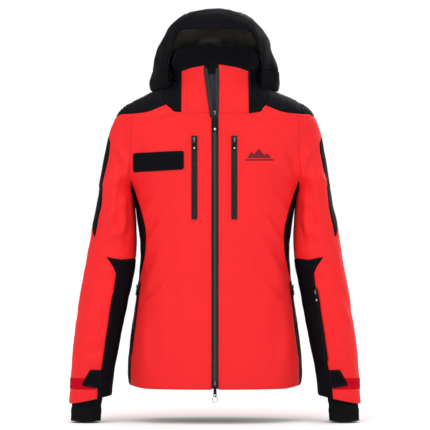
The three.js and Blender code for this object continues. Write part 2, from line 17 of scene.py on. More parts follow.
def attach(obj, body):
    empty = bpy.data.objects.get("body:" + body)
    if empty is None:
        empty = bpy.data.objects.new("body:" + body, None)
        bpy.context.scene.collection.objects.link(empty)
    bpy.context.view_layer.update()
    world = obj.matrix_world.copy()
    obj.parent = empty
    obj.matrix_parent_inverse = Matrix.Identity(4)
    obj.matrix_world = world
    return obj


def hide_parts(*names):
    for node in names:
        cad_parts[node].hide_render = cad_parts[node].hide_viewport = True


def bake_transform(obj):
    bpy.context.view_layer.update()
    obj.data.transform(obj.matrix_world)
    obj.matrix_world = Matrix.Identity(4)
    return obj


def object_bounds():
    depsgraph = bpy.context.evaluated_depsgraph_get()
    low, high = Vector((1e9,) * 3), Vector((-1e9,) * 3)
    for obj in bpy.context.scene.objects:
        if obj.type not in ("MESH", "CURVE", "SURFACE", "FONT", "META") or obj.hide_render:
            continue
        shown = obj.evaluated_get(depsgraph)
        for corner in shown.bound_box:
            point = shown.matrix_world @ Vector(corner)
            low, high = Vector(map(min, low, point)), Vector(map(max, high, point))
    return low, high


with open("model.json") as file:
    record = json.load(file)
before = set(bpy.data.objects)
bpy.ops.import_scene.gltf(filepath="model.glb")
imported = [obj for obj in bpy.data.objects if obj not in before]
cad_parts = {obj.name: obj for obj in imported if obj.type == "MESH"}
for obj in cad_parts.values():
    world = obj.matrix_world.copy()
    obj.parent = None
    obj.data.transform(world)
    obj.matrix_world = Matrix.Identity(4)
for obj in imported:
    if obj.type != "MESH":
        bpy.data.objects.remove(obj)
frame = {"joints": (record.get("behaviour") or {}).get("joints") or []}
cad_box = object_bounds()

NECK = 650.0  # height of the frame's origin above the hem
MM = 0.001
VOXEL = 3.6  # spacing of the garment's surface points
ARMHOLE = 186.0  # how far out the sleeves start
ARMPIT = 447
FAR = 260.0  # past either end of the garment's depth
NOT_HERE = -40.0  # a cutting value for points that a cut leaves out
ELBOW_TOP, ELBOW_FOOT = 390.0, 225.0  # the stretch of sleeve that bends
HOOD_HEM, HOOD_FOLD = 655.5, 700.0
ZIP_FOOT_Y, ZIP_LEAN = -126.0, 34 / 650
ZIP_HALF = 7.3  # half the strip that the front zip fills
CLOTH = 2.2  # thickness of a sewn panel at its edge
SIDES = {"left": 1, "right": -1}

NAMED_JOINTS = {j["name"]: j for j in frame["joints"]}


def to_frame(points):
    """Moves hem-based millimetres into the frame's metres."""
    return (np.asarray(points, float) - [0, 0, NECK]) * MM


def from_frame(point):
    return np.asarray(point, float) / MM + [0, 0, NECK]


# ------------------------------------------------------------------ curves
def profile(*pairs):
    """A smooth curve through (position, value) pairs."""
    at, value = np.array(pairs, float).T
    low = np.maximum(np.arange(len(at)) - 1, 0)
    high = np.minimum(np.arange(len(at)) + 1, len(at) - 1)
    slope = (value[high] - value[low]) / (at[high] - at[low])

    def curve(where):
        where = np.asarray(where, float)
        i = np.clip(np.searchsorted(at, where, side="right") - 1, 0, len(at) - 2)
        span = at[i + 1] - at[i]
        t = np.clip((where - at[i]) / span, 0, 1)
        t2, t3 = t * t, t * t * t
        return ((2 * t3 - 3 * t2 + 1) * value[i] + (t3 - 2 * t2 + t) * slope[i] * span
                + (3 * t2 - 2 * t3) * value[i + 1] + (t3 - t2) * slope[i + 1] * span)

    return curve


def smoothstep(low, high, x):
    t = np.clip((x - low) / (high - low), 0, 1)
    return t * t * (3 - 2 * t)


def bell(distance, reach):
    return np.exp(-((distance / reach) ** 2))


def signed_power(v, p):
    return np.sign(v) * np.abs(v) ** p


def flowing(points, steps=6):
    """The same line with a smooth bend at each of its inner points."""
    p = np.array(points, float)
    along = np.r_[0, np.cumsum(np.linalg.norm(np.diff(p, axis=0), axis=1))]
    fine = np.concatenate([np.linspace(a, b, steps, endpoint=False)
                           for a, b in zip(along[:-1], along[1:])] + [along[-1:]])
    return np.stack([profile(*zip(along, p[:, k]))(fine) for k in (0, 1)], 1).tolist()


def inside(outline, x, y):
    """Distance from each point to the outline's edge, positive inside it."""
    a = np.array(outline, float)
    b = np.roll(a, -1, axis=0)
    p = np.stack([np.ravel(x), np.ravel(y)], 1)
    best = np.full(len(p), 1e9)
    crossings = np.zeros(len(p), int)
    for (ax, ay), (bx, by) in zip(a, b):
        edge = np.array([bx - ax, by - ay])
        rel = p - [ax, ay]
        t = np.clip(rel @ edge / max(edge @ edge, 1e-9), 0, 1)
        best = np.minimum(best, np.linalg.norm(rel - t[:, None] * edge, axis=1))
        spans = (ay > p[:, 1]) != (by > p[:, 1])
        if ay != by:
            crossings += spans & (p[:, 0] < ax + (p[:, 1] - ay) * (bx - ax) / (by - ay))
    return np.where(crossings % 2 == 1, best, -best).reshape(np.shape(x))


# ------------------------------------------------------------------ the garment's surfaces
half_width = profile(
    (-30, 184), (0, 188), (20, 192), (50, 193), (110, 188), (170, 179), (230, 170), (300, 165),
    (350, 171), (400, 178.5), (440, 185), (480, 203), (530, 221), (580, 220), (612, 206),
    (630, 186), (642, 163), (651, 142), (660, 119), (668, 103), (676, 96), (690, 97), (713, 101),
    (735, 100), (790, 92))
back_depth = profile(
    (-30, 122), (0, 122), (100, 117), (200, 104), (300, 95), (400, 103), (500, 113), (560, 113),
    (610, 104), (640, 95), (660, 88), (676, 85), (713, 86), (790, 92))
squareness = profile(
    (-30, 2.5), (300, 2.3), (440, 2.4), (520, 2.6), (600, 2.3), (640, 1.9), (676, 2), (790, 2.1))


def front_line(height):
    return ZIP_FOOT_Y + ZIP_LEAN * height


def bust(x, height):
    across = smoothstep(46, 92, np.abs(x)) * bell(np.maximum(np.abs(x) - 98, 0), 62)
    return 8 * across * bell(height - 487, 93)


def body_surface(angle, height):
    c, s = np.cos(angle), np.sin(angle)
    power = 2 / squareness(height)
    x = half_width(height) * signed_power(c, power)
    depth = np.where(s > 0, back_depth(height), bust(x, height) - front_line(height))
    return np.stack([x, depth * signed_power(s, power), height + 0 * x], -1)


sleeve_outer = profile(
    (-42, 321), (13, 319), (48, 317), (84, 314), (154, 305), (225, 294), (260, 287), (330, 276),
    (365, 271), (400, 263), (436, 257), (471, 252), (541, 239), (576, 230), (594, 223),
    (612, 211), (629, 190))
sleeve_inner = profile(
    (-42, 229), (-4, 226), (48, 219), (84, 211), (154, 198), (225, 185), (260, 178), (310, 173),
    (350, 172), (400, 175.5), (430, 179), (447, 184), (456, 185), (468, 168), (485, 135),
    (510, 105), (560, 88), (629, 100))
sleeve_depth = profile(
    (-42, 49), (0, 50), (110, 52), (190, 54), (260, 57), (330, 60), (400, 69), (450, 76),
    (530, 72), (600, 64), (629, 50))
sleeve_middle = profile(
    (-42, -51), (0, -46), (110, -34), (190, -24), (260, -14), (330, -5), (400, 1), (450, 4),
    (530, 5), (629, 3))


def spread(height):
    """How far the sleeves are held away from the body while the garment's form is made."""
    return 0.5 * np.maximum(ARMPIT - height, 0)


def sleeve_surface(angle, height):
    outer, inner = sleeve_outer(height), sleeve_inner(height)
    x = (outer + inner) / 2 + (outer - inner) / 2 * np.cos(angle) + spread(height)
    y = sleeve_middle(height) + sleeve_depth(height) * np.sin(angle)
    return np.stack([x, y, height + 0 * x], -1)


hood_width = profile(
    (640, 139), (660, 143), (678, 144), (695, 141), (713, 138), (739, 129), (766, 120), (783, 111),
    (801, 99), (818, 78), (827, 61), (837, 24))
hood_front = profile(
    (640, -70), (700, -88), (750, -102), (788, -110), (801, -107), (818, -92), (827, -76),
    (837, -38))
hood_back = profile(
    (640, 120), (660, 130), (700, 146), (740, 152), (780, 146), (801, 134), (818, 110), (827, 92),
    (837, 46))


def hood_surface(angle, height):
    front, back = hood_front(height), hood_back(height)
    power = 2 / 2.2
    x = hood_width(height) * signed_power(np.cos(angle), power)
    y = (front + back) / 2 + (back - front) / 2 * signed_power(np.sin(angle), power)
    return np.stack([x, y, height + 0 * x], -1)


# ------------------------------------------------------------------ cloth as arrays
GAP, PRESSED = 6, 7  # columns: how far past the armhole, and how far a zip's pressing moved x


class Cloth:
    """A triangle mesh. Its columns are position, normal and GAP, and on the garment PRESSED."""

    def __init__(self, data, tris):
        self.data, self.tris = np.asarray(data, float), np.asarray(tris, int)

    @property
    def at(self):
        return self.data[:, :3]

    @property
    def normal(self):
        return self.data[:, 3:6]

    def tidy(self):
        used, back = np.unique(self.tris, return_inverse=True)
        return Cloth(self.data[used], back.reshape(-1, 3))

    def face(self):
        """Works the normals out afresh."""
        a, b, c = (self.at[self.tris[:, k]] for k in range(3))
        n = np.cross(b - a, c - a)
        total = np.zeros_like(self.at)
        for k in range(3):
            np.add.at(total, self.tris[:, k], n)
        self.data[:, 3:6] = total / np.maximum(np.linalg.norm(total, axis=1), 1e-12)[:, None]
        return self

    def edges(self):
        e = np.concatenate([self.tris[:, [0, 1]], self.tris[:, [1, 2]], self.tris[:, [2, 0]]])
        return e, np.sort(e, axis=1)

    def rim(self):
        """The directed edges that belong to one triangle only."""
        directed, e = self.edges()
        _, index, count = np.unique(e, axis=0, return_index=True, return_counts=True)
        return directed[index[count == 1]]

    def relax(self, times, strength=0.5, only=slice(0, 3)):
        """Smooths the positions, or only some of their coordinates."""
        e = np.unique(self.edges()[1], axis=0)
        n = len(self.data)
        count = np.bincount(e.ravel(), minlength=n)[:, None]
        for _ in range(times):
            p = self.data[:, only]
            total = np.stack([np.bincount(e[:, 0], p[e[:, 1], k], n)
                              + np.bincount(e[:, 1], p[e[:, 0], k], n)
                              for k in range(p.shape[1])], 1)
            self.data[:, only] = p + strength * (total / np.maximum(count, 1) - p)
        return self

    def finer(self):
        """Splits every triangle into four."""
        e, inverse = np.unique(self.edges()[1], axis=0, return_inverse=True)
        middle = (self.data[e[:, 0]] + self.data[e[:, 1]]) / 2
        mid = inverse.reshape(3, -1).T + len(self.data)
        (a, b, c), (ab, bc, ca) = self.tris.T, mid.T
        tris = np.concatenate([np.stack(t, 1) for t in
                               ((a, ab, ca), (ab, b, bc), (ca, bc, c), (ab, bc, ca))])
        return Cloth(np.concatenate([self.data, middle]), tris)

    def split(self, value, snap=0.28):
        """Cuts along value = 0 and returns the part where it is positive and the other part."""
        data, tris, value = self.data.copy(), self.tris, np.array(value, float)
        e = np.unique(self.edges()[1], axis=0)
        va, vb = value[e[:, 0]], value[e[:, 1]]
        e = e[va * vb < 0]
        t = value[e[:, 0]] / (value[e[:, 0]] - value[e[:, 1]])
        source = self.data
        for end, share in ((0, t), (1, 1 - t)):
            near = share < snap
            order = np.argsort(-share[near])
            pairs, amount = e[near][order], share[near][order][:, None]
            here, there = pairs[:, end], pairs[:, 1 - end]
            data[here] = source[here] * (1 - amount) + source[there] * amount
            value[here] = 0
        sign = np.sign(value)
        e = e[sign[e[:, 0]] * sign[e[:, 1]] < 0]
        e = np.unique(np.sort(e, axis=1), axis=0)
        va, vb = value[e[:, 0]], value[e[:, 1]]
        t = (va / (va - vb))[:, None]
        new = {tuple(pair): len(data) + i for i, pair in enumerate(e.tolist())}
        data = np.concatenate([data, data[e[:, 0]] * (1 - t) + data[e[:, 1]] * t])
        sides = sign[tris]
        mixed = (sides.min(1) < 0) & (sides.max(1) > 0)
        made = []
        for a, b, c in tris[mixed].tolist():
            made += self._pieces(a, b, c, sign, new)
        tris = np.concatenate([tris[~mixed], np.array(made, int).reshape(-1, 3)])
        sign = np.concatenate([sign, np.zeros(len(e))])
        positive = sign[tris].sum(1) > 0
        return Cloth(data, tris[positive]).tidy(), Cloth(data, tris[~positive]).tidy()

    @staticmethod
    def _pieces(a, b, c, sign, new):
        key = lambda p, q: new[(p, q) if p < q else (q, p)]
        while not (sign[a] and sign[a] != sign[b] and sign[a] != sign[c]):
            a, b, c = b, c, a
        if sign[b] == 0:
            return [[a, b, key(a, c)], [b, c, key(a, c)]]
        if sign[c] == 0:
            return [[a, key(a, b), c], [key(a, b), b, c]]
        ab, ac = key(a, b), key(a, c)
        return [[a, ab, ac], [ab, b, c], [ab, c, ac]]


def sheet(at, tris):
    """A cloth of bare positions."""
    return Cloth(np.c_[at, np.zeros((len(at), 4))], tris)


def mirror_image(cloth):
    return Cloth(cloth.data * [-1, 1, 1, 1, 1, 1, 1], cloth.tris[:, ::-1])


def lattice(rows, wide, closed=False):
    """The triangles of a net of points, whose rows join up end to end where it is closed."""
    i, row = np.meshgrid(np.arange(wide if closed else wide - 1), np.arange(rows - 1))
    a, b = row * wide + i, row * wide + (i + 1) % wide
    return np.concatenate([np.stack(t, -1).reshape(-1, 3)
                           for t in ((a, b, b + wide), (a, b + wide, a + wide))])


def rings(surface, heights, around):
    """Points of surface(angle, height) in one ring at each height, and their angles."""
    angle = np.arange(around) / around * 2 * math.pi
    return np.concatenate([surface(angle, np.full(around, float(h))) for h in heights]), angle


def joined(*cloths):
    offset, data, tris = 0, [], []
    for cloth in cloths:
        data.append(cloth.data)
        tris.append(cloth.tris + offset)
        offset += len(cloth.data)
    return Cloth(np.concatenate(data), np.concatenate(tris))


def tube(surface, heights, around=96):
    """A closed tube of surface(angle, height) with a flat cap at each end."""
    at, _ = rings(surface, heights, around)
    foot, head, last = len(at), len(at) + 1, len(at) - around
    k = np.arange(around)
    caps = [np.stack([0 * k + foot, (k + 1) % around, k], 1),
            np.stack([0 * k + head, last + k, last + (k + 1) % around], 1)]
    at = np.concatenate([at, [at[:around].mean(0), at[-around:].mean(0)]])
    return sheet(at, np.concatenate([lattice(len(heights), around, True), *caps]))


def remeshed(cloth, voxel):
    """One even skin round overlapping closed forms."""
    mesh = bpy.data.meshes.new("form")
    mesh.from_pydata((cloth.at * MM).tolist(), [], cloth.tris.tolist())
    obj = bpy.data.objects.new("form", mesh)
    bpy.context.collection.objects.link(obj)
    skin = obj.modifiers.new("skin", "REMESH")
    skin.mode, skin.voxel_size = "VOXEL", voxel * MM
    shown = obj.evaluated_get(bpy.context.evaluated_depsgraph_get())
    result = shown.to_mesh()
    result.calc_loop_triangles()
    at = np.empty(len(result.vertices) * 3)
    result.vertices.foreach_get("co", at)
    tris = np.empty(len(result.loop_triangles) * 3, int)
    result.loop_triangles.foreach_get("vertices", tris)
    shown.to_mesh_clear()
    bpy.data.objects.remove(obj)
    bpy.data.meshes.remove(mesh)
    return sheet(at.reshape(-1, 3) / MM, tris.reshape(-1, 3))


# ------------------------------------------------------------------ soft folds
def waves(at, seed, wavelength, count=10):
    """Gentle unevenness: a sum of waves in fixed directions, about 1 high."""
    rng = np.random.default_rng(seed)
    total = np.zeros(len(at))
    for _ in range(count):
        direction = rng.normal(size=3)
        direction /= np.linalg.norm(direction)
        k = 2 * math.pi / (wavelength * rng.uniform(0.7, 1.5))
        total += np.sin(at @ direction * k + rng.uniform(0, 2 * math.pi))
    return total / math.sqrt(count)


def fold(at, start, end, width, height, curve=0.0):
    """A soft ridge between two (x, height) points seen from the front, with a valley beside it."""
    a, b = np.array(start, float), np.array(end, float)
    along = b - a
    length = np.linalg.norm(along)
    along /= length
    across = np.array([-along[1], along[0]])
    rel = at[:, [0, 2]] - a
    t = rel @ along / length
    d = rel @ across - curve * 4 * t * (1 - t)
    ends = smoothstep(-0.25, 0.3, t) * (1 - smoothstep(0.6, 1.25, t))
    return height * ends * (bell(d, width) - 0.75 * bell(d + 1.6 * width, 1.1 * width))


# Folds on the wearer's left, as (start, end, width, height, bend, front or back or both).
BODY_FOLDS = [
    ((178, 460), (146, 524), 9, 3.0, 6, -1), ((170, 438), (124, 450), 10, 1.7, -6, -1),
    ((160, 374), (128, 424), 9, 2.4, -4, -1), ((156, 306), (110, 374), 8, 3.6, 3, -1),
    ((150, 224), (112, 306), 11, 3.8, -4, -1), ((160, 176), (82, 260), 9, 2.8, 4, -1),
    ((154, 150), (146, 30), 12, 1.8, 4, -1), ((118, 300), (104, 150), 15, 1.2, 10, -1),
    ((66, 250), (60, 70), 16, 1.1, -6, -1), ((74, 612), (160, 584), 7, 2.4, 5, -1),
    ((66, 588), (128, 556), 11, 1.2, 6, -1), ((92, 396), (60, 368), 10, 1.2, 6, -1),
    ((170, 470), (90, 560), 11, 2.6, 12, 1), ((158, 350), (40, 318), 12, 3.0, 14, 1),
    ((156, 320), (60, 290), 12, 2.8, -10, 1), ((120, 260), (90, 60), 15, 2.4, 10, 1),
    ((60, 250), (40, 40), 16, 2.0, -8, 1), ((150, 400), (50, 380), 12, 2.2, 12, 1),
    ((100, 548), (30, 500), 14, 1.6, -8, 1),
]
SLEEVE_FOLDS = [
    ((190, 464), (220, 532), 8, 3.4, 6, -1), ((192, 444), (240, 458), 9, 2.0, 10, -1),
    ((214, 466), (228, 338), 9, 3.4, 5, -1), ((198, 424), (206, 316), 8, 3.4, -3, -1),
    ((190, 418), (236, 362), 9, 2.0, 8, -1), ((186, 376), (246, 322), 9, 2.2, -8, -1),
    ((182, 338), (238, 330), 8, 2.4, 6, 0), ((182, 308), (252, 284), 9, 2.2, -6, 0),
    ((198, 264), (264, 238), 10, 2.1, 6, 0), ((236, 470), (244, 380), 8, 1.8, 4, -1),
    ((216, 204), (270, 132), 12, 2.2, 8, 0), ((236, 122), (290, 84), 10, 2.0, -6, 0),
    ((302, 148), (272, 208), 7, 2.8, 3, -1), ((308, 112), (280, 172), 7, 2.4, -3, -1),
    ((264, 220), (284, 60), 14, 1.8, 6, -1), ((246, 66), (306, 52), 9, 1.6, 5, 0),
    ((190, 470), (236, 540), 11, 3.0, 8, 1), ((188, 436), (250, 430), 10, 2.8, -8, 1),
    ((182, 372), (250, 404), 10, 2.6, 8, 1), ((226, 236), (276, 90), 14, 1.8, -8, 1),
]


def folds_on(at, folds, shift):
    """All the folds of one side, each a little different from its twin on the other side."""
    total = np.zeros(len(at))
    for i, (start, end, width, height, bend, facing) in enumerate(folds):
        wobble = shift * math.sin(2.4 * i + shift)
        moved = [np.array(p, float) + [wobble, 1.5 * wobble] for p in (start, end)]
        amount = fold(at, *moved, width, height * (1 + 0.04 * wobble), bend)
        if facing:
            amount *= smoothstep(-18, 18, facing * at[:, 1])
        total += amount
    return total


def garment():
    """The body with both sleeves as one form, with its soft folds."""
    body = tube(body_surface, np.r_[np.arange(-26, 600, 13), np.arange(600, 792, 5)])
    sleeve = tube(sleeve_surface, np.r_[np.arange(-58, 600, 12), np.arange(600, 630, 4)], 72)
    form = remeshed(joined(body, sleeve, mirror_image(sleeve)), VOXEL).relax(7)
    form.data = np.c_[form.data, np.zeros(len(form.data))]
    at = form.at
    side = np.sign(at[:, 0])
    bound = ARMHOLE + 0.1 * np.maximum(ARMPIT - at[:, 2], 0)
    gap = np.abs(at[:, 0]) - bound
    form.data[:, GAP] = gap
    form.data[:, 0] -= side * spread(at[:, 2]) * np.clip(gap / 8 + 0.5, 0, 1)
    form.face()
    at = form.at.copy()
    height = at[:, 2]
    on_sleeve = smoothstep(-12, 12, gap)
    below_collar = 1 - smoothstep(590, 640, height)
    calm = smoothstep(50, 80, np.abs(at[:, 0]))
    calm = np.where(at[:, 1] < 0, calm, 1)
    push = (0.9 * waves(at, 3, 130) + 0.45 * waves(at, 5, 55)) * (0.25 + 0.75 * calm)
    for way, shift in ((1, 0.8), (-1, -2.1)):
        half = side == way
        here = at[half] * [way, 1, 1]
        amount = folds_on(here, BODY_FOLDS, shift) * (1 - on_sleeve[half]) * calm[half]
        wide = sleeve_outer(here[:, 2]) - sleeve_inner(here[:, 2])
        out = (here[:, 0] - sleeve_inner(here[:, 2])) / wide
        within = smoothstep(-0.02, 0.22, out) * (1 - 0.7 * smoothstep(0.7, 1.0, out))
        amount += folds_on(here, SLEEVE_FOLDS, shift) * on_sleeve[half] * within
        push[half] += amount * below_collar[half]
    push += np.where(height > 640, 0.5 * waves(at, 8, 40), 0)
    form.data[:, :3] += form.normal * push[:, None]
    for name in POCKET_ZIPS:
        press_flat(form, name)
    return form.face()


# ------------------------------------------------------------------ where the zips are
HINGE_OUT = 4.6  # how far a puller's hinge stands off its zip
HINGE_DOWN = 5.0  # and how far below the slider's top
ZIPS = {  # name: (slider width, slider height, puller width, puller length, ring radius)
    "front_upper": (10.5, 19, 8, 42, None), "front_lower": (10.5, 19, 7.5, 31, 5.8),
    "chest_left": (8, 15, 6, 24, None), "chest_right": (8, 15, 6, 24, None),
    "hand_left": (7.5, 15, 6, 21.5, None), "hand_right": (7.5, 15, 6, 21.5, None),
    "sleeve_pocket": (7, 15, 6, 24, None)}
POCKET_ZIPS = {  # name: (body, width, length, what the slider keeps from the top end)
    "chest_left": ("torso", 12.5, 183, 18), "chest_right": ("torso", 12.5, 183, 18),
    "hand_left": ("torso", 9, 161, 18), "hand_right": ("torso", 9, 161, 18),
    "sleeve_pocket": ("forearm_left", 8, 160, 16)}


class Place:
    """A zip's own frame: across it, out from the cloth, and up along it."""

    def __init__(self, name):
        slide, flip = NAMED_JOINTS[f"{name}_slide"], NAMED_JOINTS[f"{name}_pull_flip"]
        self.up, self.across = (np.array(j["axis"], float) for j in (slide, flip))
        self.up *= np.sign(self.up[2]) / np.linalg.norm(self.up)
        self.across *= np.sign(self.across[0]) / np.linalg.norm(self.across)
        self.out = np.cross(self.across, self.up)
        self.hinge = from_frame(flip["pos_m"])
        self.foot = self.hinge - HINGE_OUT * self.out + (HINGE_DOWN - ZIPS[name][1]) * self.up

    def put(self, points, start=None):
        """Moves (across, out, up) points to where the zip is."""
        start = self.foot if start is None else start
        return start + np.asarray(points, float) @ np.stack([self.across, self.out, self.up])

    def seen(self, points):
        """The (across, out, up) of points, from the slider's foot."""
        return (points - self.foot) @ np.stack([self.across, self.out, self.up]).T


def zip_foot(name):
    """The lower end of a pocket's zip, counted up from its slider's foot."""
    _, _, length, spare = POCKET_ZIPS[name]
    return spare - length


def press_flat(form, name, reach=17.0, depth=1.2):
    """Presses the cloth flat behind a pocket's zip."""
    place, width, length = Place(name), *POCKET_ZIPS[name][1:3]
    across, out, up = place.seen(form.at).T
    beyond = np.maximum(0, np.maximum(zip_foot(name) - up, up - zip_foot(name) - length))
    away = np.hypot(np.maximum(np.abs(across) - width / 2, 0), beyond)
    on_sleeve = POCKET_ZIPS[name][0] != "torso"
    share = (1 - smoothstep(1, reach, away)) * (1 - smoothstep(8, 16, np.abs(out)))
    share *= (form.data[:, GAP] > 0) == on_sleeve
    sunk = depth * (1 - smoothstep(0, 3.5, away))
    move = -(share * (out + sunk))[:, None] * place.out
    form.data[:, :3] += move
    form.data[:, PRESSED] += move[:, 0]


def seam_x(cloth):
    """How far each point is from the middle, as it was before the zips pressed it."""
    return np.abs(cloth.at[:, 0] - cloth.data[:, PRESSED])


# ------------------------------------------------------------------ making pieces
def mesh_object(name, parts, smooth_angle=None):
    """One object from (points, faces, material) parts."""
    points, faces, marks, materials = [], [], [], []
    offset = 0
    for at, part_faces, material in parts:
        if material not in materials:
            materials.append(material)
        points.append(to_frame(at))
        faces += [[i + offset for i in face] for face in part_faces]
        marks += [materials.index(material)] * len(part_faces)
        offset += len(at)
    mesh = bpy.data.meshes.new(name)
    mesh.from_pydata(np.concatenate(points).tolist(), [], faces)
    for material in materials:
        mesh.materials.append(material)
    mesh.polygons.foreach_set("material_index", marks)
    mesh.shade_smooth()
    if smooth_angle:
        mesh.set_sharp_from_angle(angle=smooth_angle)
    mesh.update()
    obj = bpy.data.objects.new(name, mesh)
    bpy.context.collection.objects.link(obj)
    return obj


def edge_distance(cloth, reach=12.0):
    """How far each point is from the cloth's edge, up to reach."""
    rim = np.unique(cloth.rim())
    tree = kdtree.KDTree(len(rim))
    for i, p in enumerate(cloth.at[rim].tolist()):
        tree.insert(p, i)
    tree.balance()
    return np.array([min(tree.find(p)[2], reach) for p in cloth.at.tolist()])


def pushed(cloth, amount):
    """A copy moved out along its normals."""
    data = cloth.data.copy()
    data[:, :3] += cloth.normal * np.reshape(amount, (-1, 1))
    return Cloth(data, cloth.tris)


def seamed(cloth, depth=0.9, lip=0.4):
    """Rolls the cloth's edges in, as a seam does, with a low swell beside them."""
    d = edge_distance(cloth)
    push = lip * bell(d - 5.5, 3.2) - depth * bell(d, 2.2)
    if cloth.data.shape[1] > PRESSED:  # the seams at the armhole and the front of the neck are soft
        neck = bell(cloth.at[:, 2] - 602, 9) * (cloth.at[:, 1] < 0)
        push *= 1 - np.maximum(0.75 * bell(cloth.data[:, GAP], 8), 0.5 * neck)
    return pushed(cloth, push)


def contours(cloth, value):
    """The lines on the cloth where value is 0, each an array of points and normals."""
    tris = cloth.tris
    sign = value > 0
    mixed = tris[(sign[tris].sum(1) % 3) > 0]
    follow, place = {}, {}
    for tri in mixed.tolist():
        cut = []
        for p, q in zip(tri, tri[1:] + tri[:1]):
            if sign[p] != sign[q]:
                key = (min(p, q), max(p, q))
                t = value[p] / (value[p] - value[q])
                place[key] = cloth.data[p, :6] * (1 - t) + cloth.data[q, :6] * t
                cut.append((key, sign[p]))
        (first, leaving), (second, _) = cut
        follow[first if leaving else second] = second if leaving else first
    reached = set(follow.values())
    starts = [k for k in follow if k not in reached]
    lines = []
    while follow:
        key = next((k for k in starts if k in follow), None) or next(iter(follow))
        line = [place[key]]
        while key in follow:
            key = follow.pop(key)
            line.append(place[key])
        lines.append(np.array(line))
    return lines


def spaced(line, pitch, smoothing=6):
    """The line smoothed a little and cut into equal steps."""
    line = line.copy()
    for _ in range(smoothing):
        line[1:-1] = 0.5 * line[1:-1] + 0.25 * (line[:-2] + line[2:])
    along = np.r_[0, np.cumsum(np.linalg.norm(np.diff(line[:, :3], axis=0), axis=1))]
    where = np.arange(pitch, along[-1] - pitch / 2, pitch)
    return np.stack([np.interp(where, along, line[:, k]) for k in range(6)], 1)


def bands(count, n):
    """The faces between rings of n points each."""
    return [[r * n + i, r * n + (i + 1) % n, (r + 1) * n + (i + 1) % n, (r + 1) * n + i]
            for r in range(count - 1) for i in range(n)]


STITCH_SIDES = 5
# One stitch dips into the cloth at both ends: rings of thread as (along, width, off the cloth).
STITCH_RINGS = [(-1, 0.45, -0.9), (-0.55, 0.95, 0.1), (0.55, 0.95, 0.1), (1, 0.45, -0.9)]


def stitch_shape(length, radius):
    turn = np.arange(STITCH_SIDES) / STITCH_SIDES * 2 * math.pi
    points = [[a * length / 2, w * radius * math.cos(t), (w * math.sin(t) + off) * radius]
              for a, w, off in STITCH_RINGS for t in turn]
    n, last = STITCH_SIDES, len(points) - STITCH_SIDES
    ends = [list(range(n))[::-1], [last + i for i in range(n)]]
    return np.array(points), bands(len(STITCH_RINGS), n) + ends


def stitches(cloth, value, material, pitch=3.6, length=2.7, radius=0.3):
    """Rows of thread along the lines where value is 0."""
    shape, faces = stitch_shape(length, radius)
    points, all_faces = [], []
    for line in contours(cloth, value):
        if len(line) < 8:
            continue
        line = spaced(line, pitch)
        if len(line) < 3:
            continue
        along = np.gradient(line[:, :3], axis=0)
        along /= np.maximum(np.linalg.norm(along, axis=1), 1e-9)[:, None]
        off = line[:, 3:6] / np.maximum(np.linalg.norm(line[:, 3:6], axis=1), 1e-9)[:, None]
        across = np.cross(off, along)
        for centre, a, w, o in zip(line[:, :3], along, across, off):
            all_faces += [[i + len(shape) * len(points) for i in face] for face in faces]
            points.append(centre + shape @ np.stack([a, w, o]))
    if not points:
        return []
    return [(np.concatenate(points), all_faces, material)]


def thick(cloth, depth):
    """Gives the cloth an inner face and a rim."""
    outer = cloth.at
    inner = outer - cloth.normal * depth
    rim = cloth.rim()
    n = len(outer)
    quads = np.stack([rim[:, 1], rim[:, 0], rim[:, 0] + n, rim[:, 1] + n], 1)
    faces = cloth.tris.tolist() + (cloth.tris[:, ::-1] + n).tolist() + quads.tolist()
    return np.concatenate([outer, inner]), faces


def sewn(name, cloth, look, where, nodes=None, depth=CLOTH, roll=0.9, rows=(4.6,)):
    """A panel of cloth with rolled seams, and rows of stitches at these distances from its edge."""
    usual_slot, thread = SEWN[look]
    rolled = seamed(cloth, roll)
    parts = [(*thick(rolled, depth), MATERIAL[look])]
    if thread and rows:
        d = edge_distance(cloth)
        for row in rows:
            parts += stitches(rolled, d - row, MATERIAL[thread])
    settle(mesh_object(f"{name}_cloth", parts), where, name if nodes is None else nodes)


def settle(obj, where, nodes):
    """Puts a piece on a body, or leaves one that spans a joint unattached where it is made, in
    place of its CAD nodes.
    """
    if isinstance(where, str):
        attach(obj, where)
    else:
        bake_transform(obj)
    if nodes:
        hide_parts(*([nodes] if isinstance(nodes, str) else nodes))


def elbow_blend(name):
    side = SIDES[name]
    top, foot = to_frame([226 * side, -8, ELBOW_TOP]), to_frame([226 * side, -8, ELBOW_FOOT])
    return "torso", f"forearm_{name}", tuple(top), tuple(foot)


HOOD_BLEND = ("torso", "hood", tuple(to_frame([0, 40, 655])), tuple(to_frame([0, 40, 745])))


